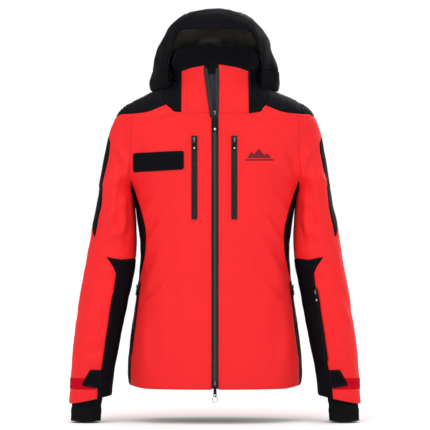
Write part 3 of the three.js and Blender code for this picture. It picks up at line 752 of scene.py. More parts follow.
# ------------------------------------------------------------------ materials
class Shader:
    """A principled material that varies with the place on the garment, in millimetres."""

    def __init__(self, name, color, roughness, gloss):
        self.material = bpy.data.materials.new(name)
        self.material.use_nodes = True
        self.nodes, self.links = self.material.node_tree.nodes, self.material.node_tree.links
        self.surface = self.nodes["Principled BSDF"]
        self.put("Base Color", (*color, 1)).put("Roughness", roughness)
        self.put("Specular IOR Level", gloss)
        self.color = color
        place = self.nodes.new("ShaderNodeTexCoord")
        scale = self.nodes.new("ShaderNodeVectorMath")
        scale.operation = "SCALE"
        scale.inputs["Scale"].default_value = 1 / MM
        self.links.new(place.outputs["Object"], scale.inputs[0])
        self.place = scale.outputs[0]

    def put(self, key, value):
        self.surface.inputs[key].default_value = value
        return self

    def node(self, kind, inputs, **settings):
        made = self.nodes.new(kind)
        for key, value in settings.items():
            setattr(made, key, value)
        for key, value in inputs.items():
            if hasattr(value, "is_linked"):
                self.links.new(value, made.inputs[key])
            else:
                made.inputs[key].default_value = value
        return made

    def noise(self, wavelength, detail=3.0):
        """A value that varies over about wavelength millimetres."""
        return self.node("ShaderNodeTexNoise", {
            "Vector": self.place, "Scale": 1 / wavelength, "Detail": detail}).outputs["Fac"]

    def stripes(self, wavelength, direction, distortion=0.0):
        per_wave = 2 * math.pi / 20  # the wave node repeats every pi / 10 of its own scale
        return self.node("ShaderNodeTexWave", {
            "Vector": self.place, "Scale": per_wave / wavelength, "Distortion": distortion,
            "Detail": 1.0}, bands_direction=direction).outputs["Fac"]

    def mottle(self, wavelength, amount):
        """Varies the colour a little from place to place."""
        low, high = [tuple(c * f for c in self.color) for f in (1 - amount, 1 + amount)]
        ramp = self.node("ShaderNodeMix", {"Factor": self.noise(wavelength)}, data_type="RGBA")
        ramp.inputs["A"].default_value = (*low, 1)
        ramp.inputs["B"].default_value = (*high, 1)
        self.links.new(ramp.outputs["Result"], self.surface.inputs["Base Color"])
        return self

    def uneven_gloss(self, wavelength, low, high):
        roughness = self.node("ShaderNodeMapRange", {
            "Value": self.noise(wavelength), "To Min": low, "To Max": high})
        self.links.new(roughness.outputs["Result"], self.surface.inputs["Roughness"])
        return self

    def bump(self, height, depth):
        """Raises the surface by depth millimetres where height is 1."""
        before = self.surface.inputs["Normal"].links
        inputs = {"Height": height, "Distance": depth * MM, "Strength": 1.0}
        if before:
            inputs["Normal"] = before[0].from_socket
        made = self.node("ShaderNodeBump", inputs)
        self.links.new(made.outputs["Normal"], self.surface.inputs["Normal"])
        return self

    def bump_noise(self, wavelength, depth):
        return self.bump(self.noise(wavelength), depth)

    def twill(self, pitch, depth):
        """A fine diagonal weave."""
        rise = self.stripes(pitch, "DIAGONAL")
        cross = self.stripes(pitch * 0.8, "Z", 0.3)
        both = self.node("ShaderNodeMath", {0: rise, 1: cross}, operation="ADD").outputs[0]
        return self.bump(both, depth).bump_noise(pitch * 0.7, depth)


RED, BLACK = (0.88, 0.0205, 0.0232), (0.0034, 0.0033, 0.0052)
# Each look: name, colour, roughness, gloss, and the steps that add its detail, in millimetres.
# Cloth scatters most light back, so it has little of the gloss of a smooth surface.
LOOKS = {
    "red": ("red_twill", RED, 0.6, 0.14,
            ("mottle", 55, 0.03), ("twill", 0.75, 0.07), ("bump_noise", 10, 0.28)),
    "black": ("black_stretch", BLACK, 0.7, 0.05,
              ("mottle", 40, 0.2), ("twill", 0.7, 0.08), ("bump_noise", 9, 0.25)),
    "ribbed": ("embossed_rib", BLACK, 0.6, 0.07, ("mottle", 30, 0.2), ("twill", 0.7, 0.06)),
    "hood": ("hood_weave", (0.0046, 0.0042, 0.0064), 0.65, 0.04,
             ("mottle", 50, 0.2), ("twill", 0.75, 0.08), ("bump_noise", 11, 0.3)),
    "satin": ("satin_lining", (0.12, 0.113, 0.096), 0.36, 0.5,
              ("put", "Anisotropic", 0.5), ("mottle", 18, 0.25), ("bump_noise", 6, 0.35)),
    "brushed": ("brushed_lining", (0.038, 0.036, 0.046), 0.9, 0.1,
                ("mottle", 12, 0.25), ("bump_noise", 0.6, 0.12)),
    "loop": ("loop_fastener", (0.0032, 0.0032, 0.0048), 0.95, 0.1,
             ("mottle", 3, 0.35), ("bump_noise", 1.1, 0.55)),
    "loop_red": ("dark_red_loop", (0.53, 0.0020, 0.014), 0.9, 0.04,
                 ("mottle", 3, 0.12), ("bump_noise", 1.0, 0.35)),
    # The tape's colour has a faint red tint and is a little lighter than the black cloth: its own
    # black with a painted reflection of the red shell beside it.
    "tape": ("coated_zip_tape", (0.0060, 0.0045, 0.0050), 0.24, 0.45,
             ("uneven_gloss", 9, 0.2, 0.34), ("bump_noise", 1.4, 0.04)),
    "hidden_tape": ("dull_zip_tape", (0.0036, 0.0035, 0.0048), 0.6, 0.08,
                    ("mottle", 6, 0.2), ("bump_noise", 1.4, 0.05)),
    "teeth": ("moulded_teeth", (0.045, 0.043, 0.043), 0.3, 0.4,
              ("mottle", 6, 0.2), ("bump_noise", 0.5, 0.03)),
    "knit": ("rib_knit", (0.0060, 0.0064, 0.0074), 0.9, 0.06,
             ("mottle", 5, 0.25), ("bump_noise", 0.8, 0.18)),
    "lacquer": ("black_lacquer", (0.010, 0.010, 0.011), 0.3, 0.3,
                ("uneven_gloss", 3, 0.22, 0.4), ("bump_noise", 0.9, 0.02)),
    "rubber": ("puller_rubber", (0.006, 0.006, 0.008), 0.4, 0.15,
               ("mottle", 4, 0.15), ("bump_noise", 0.6, 0.03)),
    "gunmetal": ("gunmetal", (0.26, 0.26, 0.28), 0.28, 0.5,
                 ("put", "Metallic", 1.0), ("uneven_gloss", 2, 0.2, 0.38),
                 ("bump_noise", 0.8, 0.015)),
    "silver": ("bright_metal", (0.74, 0.75, 0.78), 0.22, 0.5,
               ("put", "Metallic", 1.0), ("uneven_gloss", 2, 0.16, 0.34),
               ("bump_noise", 0.7, 0.015)),
    "thread_red": ("red_thread", (0.66, 0.012, 0.015), 0.6, 0.3, ("bump_noise", 0.3, 0.05)),
    "thread_black": ("black_thread", (0.010, 0.010, 0.012), 0.55, 0.3, ("bump_noise", 0.3, 0.05)),
    "print": ("dark_red_print", (0.15, 0.004, 0.010), 0.5, 0.3,
              ("mottle", 8, 0.1), ("bump_noise", 0.7, 0.03)),
    "webbing": ("woven_tape", (0.008, 0.008, 0.010), 0.7, 0.2,
                ("mottle", 4, 0.2), ("bump_noise", 0.7, 0.1))}
MATERIAL = {}
for look, (name, color, roughness, gloss, *steps) in LOOKS.items():
    shader = Shader(name, color, roughness, gloss)
    for step, *values in steps:
        getattr(shader, step)(*values)
    MATERIAL[look] = shader.material
# The record's slot for each look of cloth, and the thread that it is sewn with.
SEWN = {"red": ("red_shell", "thread_red"), "black": ("black_stretch", "thread_black"),
        "ribbed": ("ribbed_black", None), "hood": ("hood_black", "thread_black"),
        "loop": ("loop_fastener", "thread_black"), "loop_red": ("dark_red_loop", "thread_red"),
        "brushed": ("brushed_lining", "thread_black"), "satin": ("satin_lining", None),
        "webbing": ("webbing", "thread_black")}


# ------------------------------------------------------------------ seams, seen from the front
side_seam = flowing([(187, -30), (187, 8), (184, 101), (173, 205), (163, 256), (154, 300),
                     (153, 345), (161, 383), (172, 418), (181, 444), (187, 460)])
back_side_seam = flowing([(166, -30), (168, 50), (160, 120), (146, 220), (138, 300), (142, 370),
                          (160, 430), (187, 470)])
yoke_seam = flowing([(187, 603), (160, 605), (142, 609), (120, 618), (88, 630)], 4) + [[74, 619]]
back_yoke_seam = flowing([(187, 585), (120, 566), (60, 556), (0, 553)], 4)
front_outline = ([[ZIP_HALF - 20, -30]] + side_seam + [[215, 460], [215, 603]] + yoke_seam
                 + [[74, 660], [ZIP_HALF - 20, 660]])
back_outline = ([[-20, -30]] + back_side_seam + [[215, 470], [215, 585]] + back_yoke_seam
                + [[-20, 553]])
neck_opening = [[-25.3, 780], [-25.3, 711], [-11, 594], [8, 594], [8.8, 780]]
neck_line = profile((-FAR, 602), (-94, 602), (-86, 614), (-62, 644), (-20, 668), (30, 678),
                    (90, 683), (FAR, 683))
collar_line = profile((-FAR, 713), (-93, 712), (-84, 706.5), (-74, 702), (-62, 697.5),
                      (-45, 698), (-20, 706), (0, 719), (30, 746),
                      (55, 755), (90, 757), (FAR, 757))
stripe_outline = [[-42, 331]] + flowing([(0, 359), (24, 376)], 3) + [[22, 565], [0, 557]] \
    + flowing([(-28, 540), (-40, 470), (-45, 400), (-42, 331)])[:-1]
forearm_seam = [[140, 284], [180, 285], [205, 282], [239, 289]] \
    + flowing([(239, 289), (224, 268), (217, 252)], 4)[1:] \
    + flowing([(217, 252), (222, 216), (227, 194), (249, 40), (256, 0), (259, -60)])[1:] \
    + [[140, -60]]
COLLAR_SEAM_X = 74.0
COLLAR_DEPTH, COLLAR_LINING = 4.2, 4.6  # its cloth's thickness, and how far in its lining is
SIDE_SEAM_Y = 24.0  # a front panel ends at least this far before the middle of the side
CAP_HEIGHT = 603  # where the yoke ends on a sleeve, at the front
UNDER_YOKE = 530  # black cloth above this height is yoke, and below it is side panel


def cuff_end(x):
    return -13 - 22.5 * (np.abs(x) - 215) / 115


def part(cloth, keep):
    """The triangles whose centre passes keep."""
    return Cloth(cloth.data, cloth.tris[keep(cloth.at[cloth.tris].mean(1))]).tidy()


def one_side(cloth, side):
    return part(cloth, lambda c: c[:, 0] * side > 0)


def front_only(cloth, value, otherwise=NOT_HERE):
    return np.where(cloth.at[:, 1] < 0, value, otherwise)


def without(cloth, value):
    """The cloth less the part of its front where value is negative."""
    return cloth.split(front_only(cloth, value, -NOT_HERE))[0]


def seen_inside(outline, cloth):
    return inside(outline, *cloth.at[:, [0, 2]].T)


def opened(cloth):
    """Cuts away the strip that the front zip fills, and the open V above it."""
    cloth = without(cloth, np.abs(cloth.at[:, 0]) - ZIP_HALF)
    return without(cloth, -seen_inside(neck_opening, cloth))


# ------------------------------------------------------------------ body
def ribs(cloth, pitch=6.6, height=1.15):
    """Embosses the yoke with ribs that run from front to back over the shoulder."""
    fine = cloth.finer().face()
    x, y, _ = fine.at.T
    fade = smoothstep(3.5, 9, edge_distance(fine))
    wave = 0.5 + 0.5 * np.cos(2 * math.pi * (1.12 * np.abs(x) + 0.16 * y) / pitch)
    fine.data[:, :3] += fine.normal * (height * fade * wave ** 1.5)[:, None]
    return fine.face()


def body_panels(torso):
    x, y, z = torso.at.T
    back = torso.split(np.where(y > 0, inside(back_outline, np.abs(x), z), NOT_HERE))
    sewn("back_panel", back[0], "red", "torso")
    for name, side in SIDES.items():
        half = one_side(back[1], side)
        x, y, z = half.at.T
        before_side = -y - SIDE_SEAM_Y * (1 - smoothstep(380, 430, z))
        front_value = np.minimum(inside(front_outline, seam_x(half), z), before_side)
        fronts = half.split(front_only(half, front_value))
        sewn(f"front_panel_{name}", fronts[0], "red", "torso")
        yoke = part(fronts[1], lambda c: c[:, 2] > UNDER_YOKE)
        under = part(fronts[1], lambda c: c[:, 2] <= UNDER_YOKE)
        sewn(f"shoulder_yoke_{name}", ribs(yoke), "ribbed", "torso")
        sewn(f"side_panel_{name}", under, "black", "torso")


def lining(cloth, name, look, where, depth):
    """A thin cloth that lies depth under another."""
    parts = [(*thick(pushed(cloth, -depth), 0.7), MATERIAL[look])]
    settle(mesh_object(f"{name}_cloth", parts), where, name)


def collar(cloth):
    x, z = cloth.at[:, 0], cloth.at[:, 2]
    cloth.data[:, :3] -= cloth.normal * np.where(
        np.abs(x) > COLLAR_SEAM_X, 0.8 * (bell(z - 697, 2.4) + bell(z - 660, 2.4)), 0)[:, None]
    red = np.minimum(COLLAR_SEAM_X - np.abs(cloth.at[:, 0]), -6 - cloth.at[:, 1])
    front, rest = cloth.split(red)
    for name, side in SIDES.items():
        sewn(f"collar_front_{name}", one_side(front, side), "red", "torso", depth=COLLAR_DEPTH)
    sewn("collar_back", rest, "hood", "torso", depth=COLLAR_DEPTH)
    lining(cloth, "collar_lining", "brushed", "torso", COLLAR_LINING)


HEM_RISE = 5  # how much higher the hem is at the sides
LINING_HEM, LINING_EDGE = 12, 15  # the lining stops above the hem and short of the front zip


def make_body(torso):
    torso = opened(torso)
    hem = HEM_RISE * smoothstep(150, 192, np.abs(torso.at[:, 0]))
    torso = torso.split(torso.at[:, 2] - hem)[0]
    above, below = torso.split(z_over(torso, neck_line))
    above = above.split(-z_over(above, collar_line))[0]
    collar(above)
    body_panels(below)
    inner = without(below, np.abs(below.at[:, 0]) - LINING_EDGE)
    inner = inner.split(inner.at[:, 2] - LINING_HEM)[0]
    lining(inner, "torso_lining", "satin", "torso", CLOTH + 1.6)


def z_over(cloth, line):
    return cloth.at[:, 2] - line(cloth.at[:, 1])


# ------------------------------------------------------------------ sleeves
def make_sleeve(cloth, name):
    across = elbow_blend(name)
    cloth = cloth.split(cloth.at[:, 2] - cuff_end(cloth.at[:, 0]))[0]
    x, y, z = cloth.at.T
    x = np.abs(x)
    cap_line = CAP_HEIGHT - 5 * smoothstep(205, 219, x) - 15 * smoothstep(-10, 60, y)
    cap, rest = cloth.split(z - cap_line)
    sewn(f"yoke_cap_{name}", ribs(cap), "ribbed", "torso", ())
    x, y, z = rest.at.T
    middle = (sleeve_outer(z) + sleeve_inner(z)) / 2
    on_stripe = np.where(np.abs(x) > middle, inside(stripe_outline, y, z), NOT_HERE)
    stripe, rest = rest.split(on_stripe)
    sewn(f"sleeve_side_stripe_{name}", stripe, "black", across, f"sleeve_stripe_{name}",
         rows=())
    inner, outer = rest.split(inside(forearm_seam, seam_x(rest), rest.at[:, 2]))
    sewn(f"forearm_inside_{name}", inner, "black", across, f"forearm_inner_{name}")
    sewn(f"sleeve_shell_{name}", outer, "red", across,
         [f"sleeve_upper_{name}", f"elbow_section_{name}", f"forearm_outer_{name}"])
    loop_strip(rest, name)


def loop_strip(sleeve, name):
    """The strip that the cuff's tab closes on, round the outer half of the sleeve."""
    x, y, z = sleeve.at.T
    strip = sleeve.split(np.minimum(inside(LOOP_STRIP, np.abs(x), z), -20 - y))[0]
    sewn(f"loop_strip_{name}", pushed(strip, 0.9), "loop_red", f"forearm_{name}",
         f"cuff_loop_strip_{name}", 0.8, 0.5, (2.2,))


# ------------------------------------------------------------------ hood
BRIM_Y, BRIM_FOOT, HOOD_PANEL_X = -66, 766, 62
face_opening = flowing([(-104, 600), (-102, 655), (-105, 697), (-104, 728), (-96, 748), (-84, 779),
                        (-74, 787)], 4) + flowing(
    [(74, 787), (84, 779), (96, 748), (104, 728), (105, 697), (102, 655), (104, 600)], 4)


def make_hood():
    form = remeshed(tube(hood_surface, np.r_[np.arange(640, 800, 8), np.arange(800, 838, 4)]),
                    VOXEL).relax(8).face()
    at = form.at
    push = 1.2 * waves(at, 21, 70) + 0.6 * waves(at, 22, 34)
    soft = smoothstep(655, 680, at[:, 2]) * (1 - smoothstep(740, 800, at[:, 2]))
    push += 2.1 * soft * waves(at * [1, 1, 0.5], 23, 42)
    form.data[:, :3] += form.normal * push[:, None]
    form.face()
    form = form.split(form.at[:, 2] - HOOD_HEM)[0]
    form = without(form, -seen_inside(face_opening, form))
    inner = without(form, -3 - seen_inside(face_opening, form))
    inner = inner.split(inner.at[:, 2] - 662)[0]
    band, dome = form.split(HOOD_FOLD - form.at[:, 2])
    sewn("hood_base_band", band, "hood", HOOD_BLEND, rows=())
    brim, cap = dome.split(np.minimum(BRIM_Y - dome.at[:, 1], dome.at[:, 2] - BRIM_FOOT))
    sewn("hood_brim", brim, "hood", HOOD_BLEND, depth=3.2, rows=(4.6, 9.0))
    beside = HOOD_PANEL_X - np.abs(cap.at[:, 0]) + 8 * smoothstep(0, 120, cap.at[:, 1])
    middle, sides = cap.split(beside)
    sewn("hood_center", middle, "hood", HOOD_BLEND)
    for name, side in SIDES.items():
        sewn(f"hood_side_{name}", one_side(sides, side), "hood", HOOD_BLEND)
    crumple = 1.3 * waves(inner.at * [1, 1, 2.2], 31, 46) - 0.8
    wrinkled = pushed(inner, np.minimum(crumple, 0.6))
    lining(wrinkled.face(), "hood_lining", "satin", HOOD_BLEND, CLOTH + 1.8)


# ------------------------------------------------------------------ flat pieces
def rounded(outline, radius, steps=5):
    """The outline with its corners turned to round ones."""
    p = np.array(outline, float)
    made = []
    for before, here, after in zip(np.roll(p, 1, 0), p, np.roll(p, -1, 0)):
        ends = []
        for other in (before, after):
            away = np.linalg.norm(other - here)
            ends.append(here + (other - here) * min(radius / away, 0.48))
        for t in np.linspace(0, 1, steps):
            made.append((1 - t) ** 2 * ends[0] + 2 * t * (1 - t) * here + t * t * ends[1])
    return made


def bar_outline(width, low, high, radius):
    return rounded([(-width / 2, low), (width / 2, low), (width / 2, high), (-width / 2, high)],
                   radius)


def grid(outline, step):
    """A flat cloth facing the front that fills an outline of (across, up) points."""
    low, high = np.min(outline, 0) - 1.5 * step, np.max(outline, 0) + 1.5 * step
    across, up = (np.arange(a, b + step, step) for a, b in zip(low, high))
    x, z = np.meshgrid(across, up)
    data = np.zeros((x.size, 7))
    data[:, 0], data[:, 2], data[:, 4] = x.ravel(), z.ravel(), -1
    cloth = Cloth(data, lattice(*x.shape))
    return cloth.split(inside(outline, data[:, 0], data[:, 2]))[0]


class Ground:
    """The garment's outer face, for laying pieces on."""

    START, MISSED = -600, -60  # where a ray starts, and where a point that it misses looks from

    def __init__(self, cloth):
        self.tree = BVHTree.FromPolygons(cloth.at.tolist(), cloth.tris.tolist())

    def laid(self, outline, step, lift, smoothing=3):
        """A cloth of the outline, seen from the front, lying lift above the garment."""
        cloth = grid(outline, step)
        for row in cloth.data:
            hit = self.tree.ray_cast(Vector((row[0], self.START, row[2])), Vector((0, 1, 0)))[0]
            if hit is None:
                hit = self.tree.find_nearest(Vector((row[0], self.MISSED, row[2])))[0]
            row[1] = hit.y
        cloth.relax(smoothing, only=slice(1, 2)).face()
        cloth.data[:, :3] += cloth.normal * lift
        return cloth


SHARP = 1.0  # radians: a bevel softens an edge whose faces turn by more


def plate(outline, low, high, bevel=0.0, hole=None, segments=2):
    """A flat plate with softened edges, as (across, out, up) points and faces."""
    bm = bmesh.new()
    edges = []
    for ring in [outline] + ([hole] if hole is not None else []):
        points = [bm.verts.new((p[0], low, p[1])) for p in ring]
        edges += [bm.edges.new((p, q)) for p, q in zip(points, points[1:] + points[:1])]
    faces = bmesh.ops.triangle_fill(bm, use_beauty=True, use_dissolve=hole is None, edges=edges)
    faces = [f for f in faces["geom"] if isinstance(f, bmesh.types.BMFace)]
    grown = bmesh.ops.extrude_face_region(bm, geom=faces)["geom"]
    bmesh.ops.translate(bm, vec=(0, high - low, 0),
                        verts=[v for v in grown if isinstance(v, bmesh.types.BMVert)])
    bmesh.ops.recalc_face_normals(bm, faces=bm.faces[:])
    if bevel:
        sharp = [e for e in bm.edges if e.is_manifold and e.calc_face_angle(0) > SHARP]
        bmesh.ops.bevel(bm, geom=sharp, offset=bevel, segments=segments, affect="EDGES",
                        profile=0.5, clamp_overlap=True)
    bmesh.ops.recalc_face_normals(bm, faces=bm.faces[:])
    bm.verts.index_update()
    made = np.array([v.co[:] for v in bm.verts]), [[v.index for v in f.verts] for f in bm.faces]
    bm.free()
    return made


def lathe(pairs, around=20):
    """A solid turned about the out axis, from (radius, out) pairs whose ends have radius 0."""
    inner = [p for p in pairs if p[0] > 0]
    turn = np.arange(around) / around * 2 * math.pi
    points = [[r * math.cos(t), out, r * math.sin(t)] for r, out in inner for t in turn]
    points += [[0, pairs[0][1], 0], [0, pairs[-1][1], 0]]
    foot, head, last = len(points) - 2, len(points) - 1, (len(inner) - 1) * around
    faces = bands(len(inner), around) + [[foot, (i + 1) % around, i] for i in range(around)]
    faces += [[head, last + i, last + (i + 1) % around] for i in range(around)]
    return np.array(points), [face[::-1] for face in faces]


def hoop(radius, wire, around=28, section=10):
    """A ring lying flat on the cloth."""
    points = []
    for i in range(around):
        t = 2 * math.pi * i / around
        for k in range(section):
            s = 2 * math.pi * k / section
            r = radius + wire * math.cos(s)
            points.append([r * math.cos(t), wire * math.sin(s), r * math.sin(t)])
    faces = [[v % len(points) for v in face] for face in bands(around + 1, section)]
    return np.array(points), faces


def raised_by(shape, up):
    return shape[0] + [0, 0, up], shape[1]


def copies(shape, shifts):
    """The same shape at every shift, as one."""
    points, faces = shape
    n = len(points)
    return (np.concatenate([points + shift for shift in shifts]),
            [[i + n * k for i in face] for k in range(len(shifts)) for face in faces])


# ------------------------------------------------------------------ zips
COIL_PITCH = 1.9
WELDED = 2.6  # the width of a tape's welded edge


def tape_relief(cloth, half):
    """A pocket zip's face: flat welded edges, and a coil showing through beside its slit."""
    a, b = np.abs(cloth.at[:, 0]), cloth.at[:, 2]
    welded = smoothstep(half - WELDED, half - 1.9, a)
    coil = (1 - smoothstep(2.0, 2.8, a)) * (0.35 + 0.16 * np.cos(2 * math.pi * b / COIL_PITCH))
    cloth.data[:, 1] = -(0.55 + 0.35 * welded + coil - 0.75 * bell(a, 0.5))
    return cloth.face()


def in_place(cloth, place):
    """Moves a cloth made flat about the origin to where the zip is."""
    cloth.data[:, :3] = place.put(cloth.at * [1, -1, 1])
    return cloth.face()


def pocket_zip(name):
    body, width, length, _ = POCKET_ZIPS[name]
    place, foot, corner = Place(name), zip_foot(name), 2.2
    tape = grid(bar_outline(width, foot, foot + length, corner), 0.95)
    tape = in_place(tape_relief(tape, width / 2), place)
    look = MATERIAL["tape" if name.startswith("chest") else "hidden_tape"]
    parts = [(*thick(tape, 1.1), look)]
    parts += stitches(tape, edge_distance(tape) - 1.3, MATERIAL["thread_black"], 2.6, 1.9, 0.22)
    for end in (foot + corner, foot + length - corner):
        tack = plate(bar_outline(width - 4, -0.9, 0.9, 0.8), 0.4, 1.5, 0.3)
        parts.append((place.put(tack[0] + [0, 0, end]), tack[1], MATERIAL["webbing"]))
    obj = mesh_object(f"{name}_zip_tape", parts)
    node = f"{name}_zip"
    settle(obj, body, node)


TEETH_PITCH, FIRST_TOOTH, LAST_TOOTH = 3.0, 5, 702
# Up the front zip: where it is undone from, where its tapes turn, and its end.
ZIP_UNDONE, ZIP_TURN, ZIP_TOP = 592, 602, 704
# How far across a tape's edge is at each height, where the zip is undone.
TAPE_EDGE = {"left": [(0, ZIP_UNDONE), (3.6, ZIP_TURN), (2.2, ZIP_TOP)],
             "right": [(0, ZIP_UNDONE), (-4.9, ZIP_TURN), (-18, ZIP_TOP)]}


def front_place():
    """The front zip's frame, with its foot at the hem."""
    place = Place("front_upper")
    place.foot = place.foot - place.up * (place.foot[2] / place.up[2])
    return place


def tooth_edge(name, up):
    """How far across the edge of a tape is at each height along the zip."""
    up = np.asarray(up, float)
    (_, low), (knee_x, knee), (top_x, top) = TAPE_EDGE[name]
    lean = knee_x + (top_x - knee_x) * (up - knee) / (top - knee)
    return smoothstep(low, knee, up) * lean


def front_zip_half(name):
    side = SIDES[name]
    place = front_place()
    heights = np.r_[2, ZIP_UNDONE, np.linspace(594, ZIP_TOP, 23)]
    inner = [(tooth_edge(name, h) + side * 1.1, h) for h in heights]
    cloth_edge = profile((2, 7.6 * side), (590, 7.6 * side), (604, 8.4 if side > 0 else -11.6),
                         (ZIP_TOP, 9.2 if side > 0 else -24.8))
    outer = [(float(cloth_edge(h)), h) for h in heights[::-1]]
    tape = grid(inner + outer, 1.25)
    a = np.abs(tape.at[:, 0] - tooth_edge(name, tape.at[:, 2]))
    tape.data[:, 1] = 0.75 - 0.35 * smoothstep(4.4, 5.4, a) + 0.25 * bell(a - 2.6, 0.8)
    tape = in_place(tape.face(), place)
    parts = [(*thick(tape, 1.0), MATERIAL["tape"])]
    tooth = plate([(-1.5, -0.8), (1.5, -0.62), (1.5, 0.62), (-1.5, 0.8)], -2.6, 0.55, 0.32)
    head = plate(rounded([(-0.9, -0.55), (0.75, -0.85), (0.75, 0.85), (-0.9, 0.55)], 0.3, 3),
                 -2.3, 0.3, 0.2)
    if side > 0:
        tooth, head = [(points * [-1, 1, 1], [f[::-1] for f in faces])
                       for points, faces in (tooth, head)]
    ups = np.arange(FIRST_TOOTH + (0.5 if side > 0 else 0) * TEETH_PITCH, LAST_TOOTH,
                    TEETH_PITCH)
    roots = tooth_edge(name, ups)
    shifts = [np.array([root + side * 1.5, 0, up]) for root, up in zip(roots, ups)]
    for shape, inward in ((tooth, 0.0), (head, 2.0)):
        points, faces = copies(shape, [shift - [side * inward, 0, 0] for shift in shifts])
        parts.append((place.put(points), faces, MATERIAL["teeth"]))
    obj = mesh_object(f"front_zip_{name}", parts, 0.6)
    settle(obj, "torso", f"zip_half_{name}")


def slider_parts(width, height):
    """A slider's shield, shoulders and bridge, from its foot up."""
    w, h = width / 2, height
    shield = rounded([(-0.62 * w, 0), (0.62 * w, 0), (w, 0.42 * h), (w, h - 1.2), (0.55 * w, h),
                      (-0.55 * w, h), (-w, h - 1.2), (-w, 0.42 * h)], 1.6)
    raised = rounded([(-0.36 * w, 1.2), (0.36 * w, 1.2), (0.62 * w, 0.45 * h), (0.62 * w, h - 2.4),
                      (-0.62 * w, h - 2.4), (-0.62 * w, 0.45 * h)], 1.2)
    arch = rounded([(3.0, h - 1.4), (5.4, h - 1.6), (6.7, h - 2.8), (6.7, h - 9.0),
                    (5.5, h - 10.6), (3.0, h - 11.2), (3.0, h - 9.9), (5.0, h - 9.5),
                    (5.8, h - 8.6), (5.8, h - 3.2), (5.0, h - 2.8), (3.0, h - 2.6)], 0.5, 3)
    bridge, faces = plate(arch, -1.4, 1.4, 0.35)
    bridge = bridge[:, [1, 0, 2]]
    return [plate(shield, 0.9, 2.6, 0.55), plate(raised, 2.3, 3.3, 0.45),
            (bridge, [face[::-1] for face in faces])]


def puller_parts(width, length, ring):
    """A puller's link, its ribbed grip and its metal dot, hanging from the hinge."""
    w = width / 2
    eye = bar_outline(3.6, -6.9, -0.75, 0.7)
    link_foot = -11.5
    link = plate(rounded([(-0.62 * w, link_foot), (0.62 * w, link_foot), (0.86 * w, -5),
                          (0.7 * w, 0.75), (-0.7 * w, 0.75), (-0.86 * w, -5)], 1.0),
                 -0.65, 0.65, 0.3, hole=eye)
    grip_top, foot = -8.6, -length
    grip = plate(rounded([(-0.82 * w, grip_top), (-w, foot + 4), (-0.72 * w, foot),
                          (0.72 * w, foot), (w, foot + 4), (0.82 * w, grip_top)], 1.3),
                 -1.1, 1.1, 0.5)
    rubber = [grip]
    dot_up, rib_pitch = foot + 4.6, 2.6
    for k in range(int((grip_top - dot_up - 5.5) / rib_pitch)):
        rib = plate(bar_outline(1.2 * w, -0.6, 0.6, 0.5), 0.8, 1.45, 0.22)
        rubber.append(raised_by(rib, grip_top - 3.2 - rib_pitch * k))
    size = 0.6 * w
    dot = lathe([(0, 0.6), (size, 0.6), (size, 1.25), (0.8 * size, 1.6), (0.45 * size, 1.75),
                 (0, 1.8)])
    metal = [raised_by(dot, dot_up)]
    if ring:
        metal.append(raised_by(hoop(ring, 1.2), foot - ring + 0.6))
    return link, rubber, metal


def hardware(name):
    """A zip's slider and puller."""
    width, height, pull_width, pull_length, ring = ZIPS[name]
    place = Place(name)
    shapes = slider_parts(width, height)
    slider = mesh_object(f"{name}_slider_body",
                         [(place.put(p), f, MATERIAL[look]) for (p, f), look
                          in zip(shapes, ("lacquer", "lacquer", "gunmetal"))], 0.7)
    settle(slider, f"{name}_slider", f"{name}_slider")
    link, rubber, metal = puller_parts(pull_width, pull_length, ring)
    parts = [(link, MATERIAL["lacquer"])] + [(r, MATERIAL["rubber"]) for r in rubber]
    parts += [(m, MATERIAL["silver"]) for m in metal]
    puller = mesh_object(f"{name}_pull_tab",
                         [(place.put(p, place.hinge), f, look) for (p, f), look in parts], 0.7)
    settle(puller, f"{name}_puller", f"{name}_puller")


def storm_flap():
    """The stiff strip behind the front zip, with a bound edge."""
    place, half = front_place(), 16
    strip = grid(bar_outline(2 * half, 8, 690, 5), 3.2)
    a, b = strip.at[:, 0], strip.at[:, 2]
    strip.data[:, 1] = 7.4 + 0.5 * (1 - (a / half) ** 2) + 0.35 * np.sin(b / 31 + 0.6) * (a / half)
    strip = in_place(strip.face(), place)
    sewn("zip_storm_flap", strip, "brushed", "torso", "storm_flap", 1.6, 0.3, (3.0,))


# ------------------------------------------------------------------ things on the chest and cuffs
def badge(ground):
    """A loop panel for a removable badge, sewn to the right chest."""
    outline = rounded([(-180, 474), (-68, 480), (-68, 521), (-180, 516)], 6)
    panel = ground.laid(outline, 1.6, 1.9, 6)
    sewn("badge_loop_panel", panel, "loop", "torso", "badge_panel", 1.7, 0.7, (2.6,))


def emblem(ground):
    """A small mountain mark, printed on the left chest."""
    peaks = [(70, 505), (80, 519), (85, 513), (96, 526), (108, 511), (113, 516), (123, 505)]
    bar = [(66, 499.5), (128, 499.5), (128, 502.5), (66, 502.5)]
    parts = []
    for outline in (peaks, bar):
        printed = ground.laid(outline, 0.9, 0.55)
        parts.append((*thick(printed, 0.5), MATERIAL["print"]))
    settle(mesh_object("chest_emblem", parts), "torso", None)


TAB = [(249, 41.5), (273, 42), (291, 10), (287, 7), (262, 2.5), (250, 1)]
TAB_BEND = (250.5, 262)  # where a tab starts and ends its bend as it is peeled
TAB_MIDDLE = (-93, 21.5)
TAB_LIFT = 3.9  # clears the strip and the sleeve
LOOP_STRIP = [(260, 25), (330, 22.5), (330, -1), (260, -1)]


def cuff(name, ground):
    side = SIDES[name]
    mirror = lambda outline: [(x * side, z) for x, z in outline]
    tab = ground.laid(rounded(mirror(TAB), 2.5), 1.3, TAB_LIFT, 8)
    sewn_edge, free_side = (tuple(to_frame([x * side, *TAB_MIDDLE])) for x in TAB_BEND)
    sewn(f"cuff_hook_tab_{name}", tab, "black",
         (f"forearm_{name}", f"cuff_tab_{name}", sewn_edge, free_side), f"cuff_tab_{name}",
         1.7, 0.8, (2.4, 4.0))
    gaiter(name)


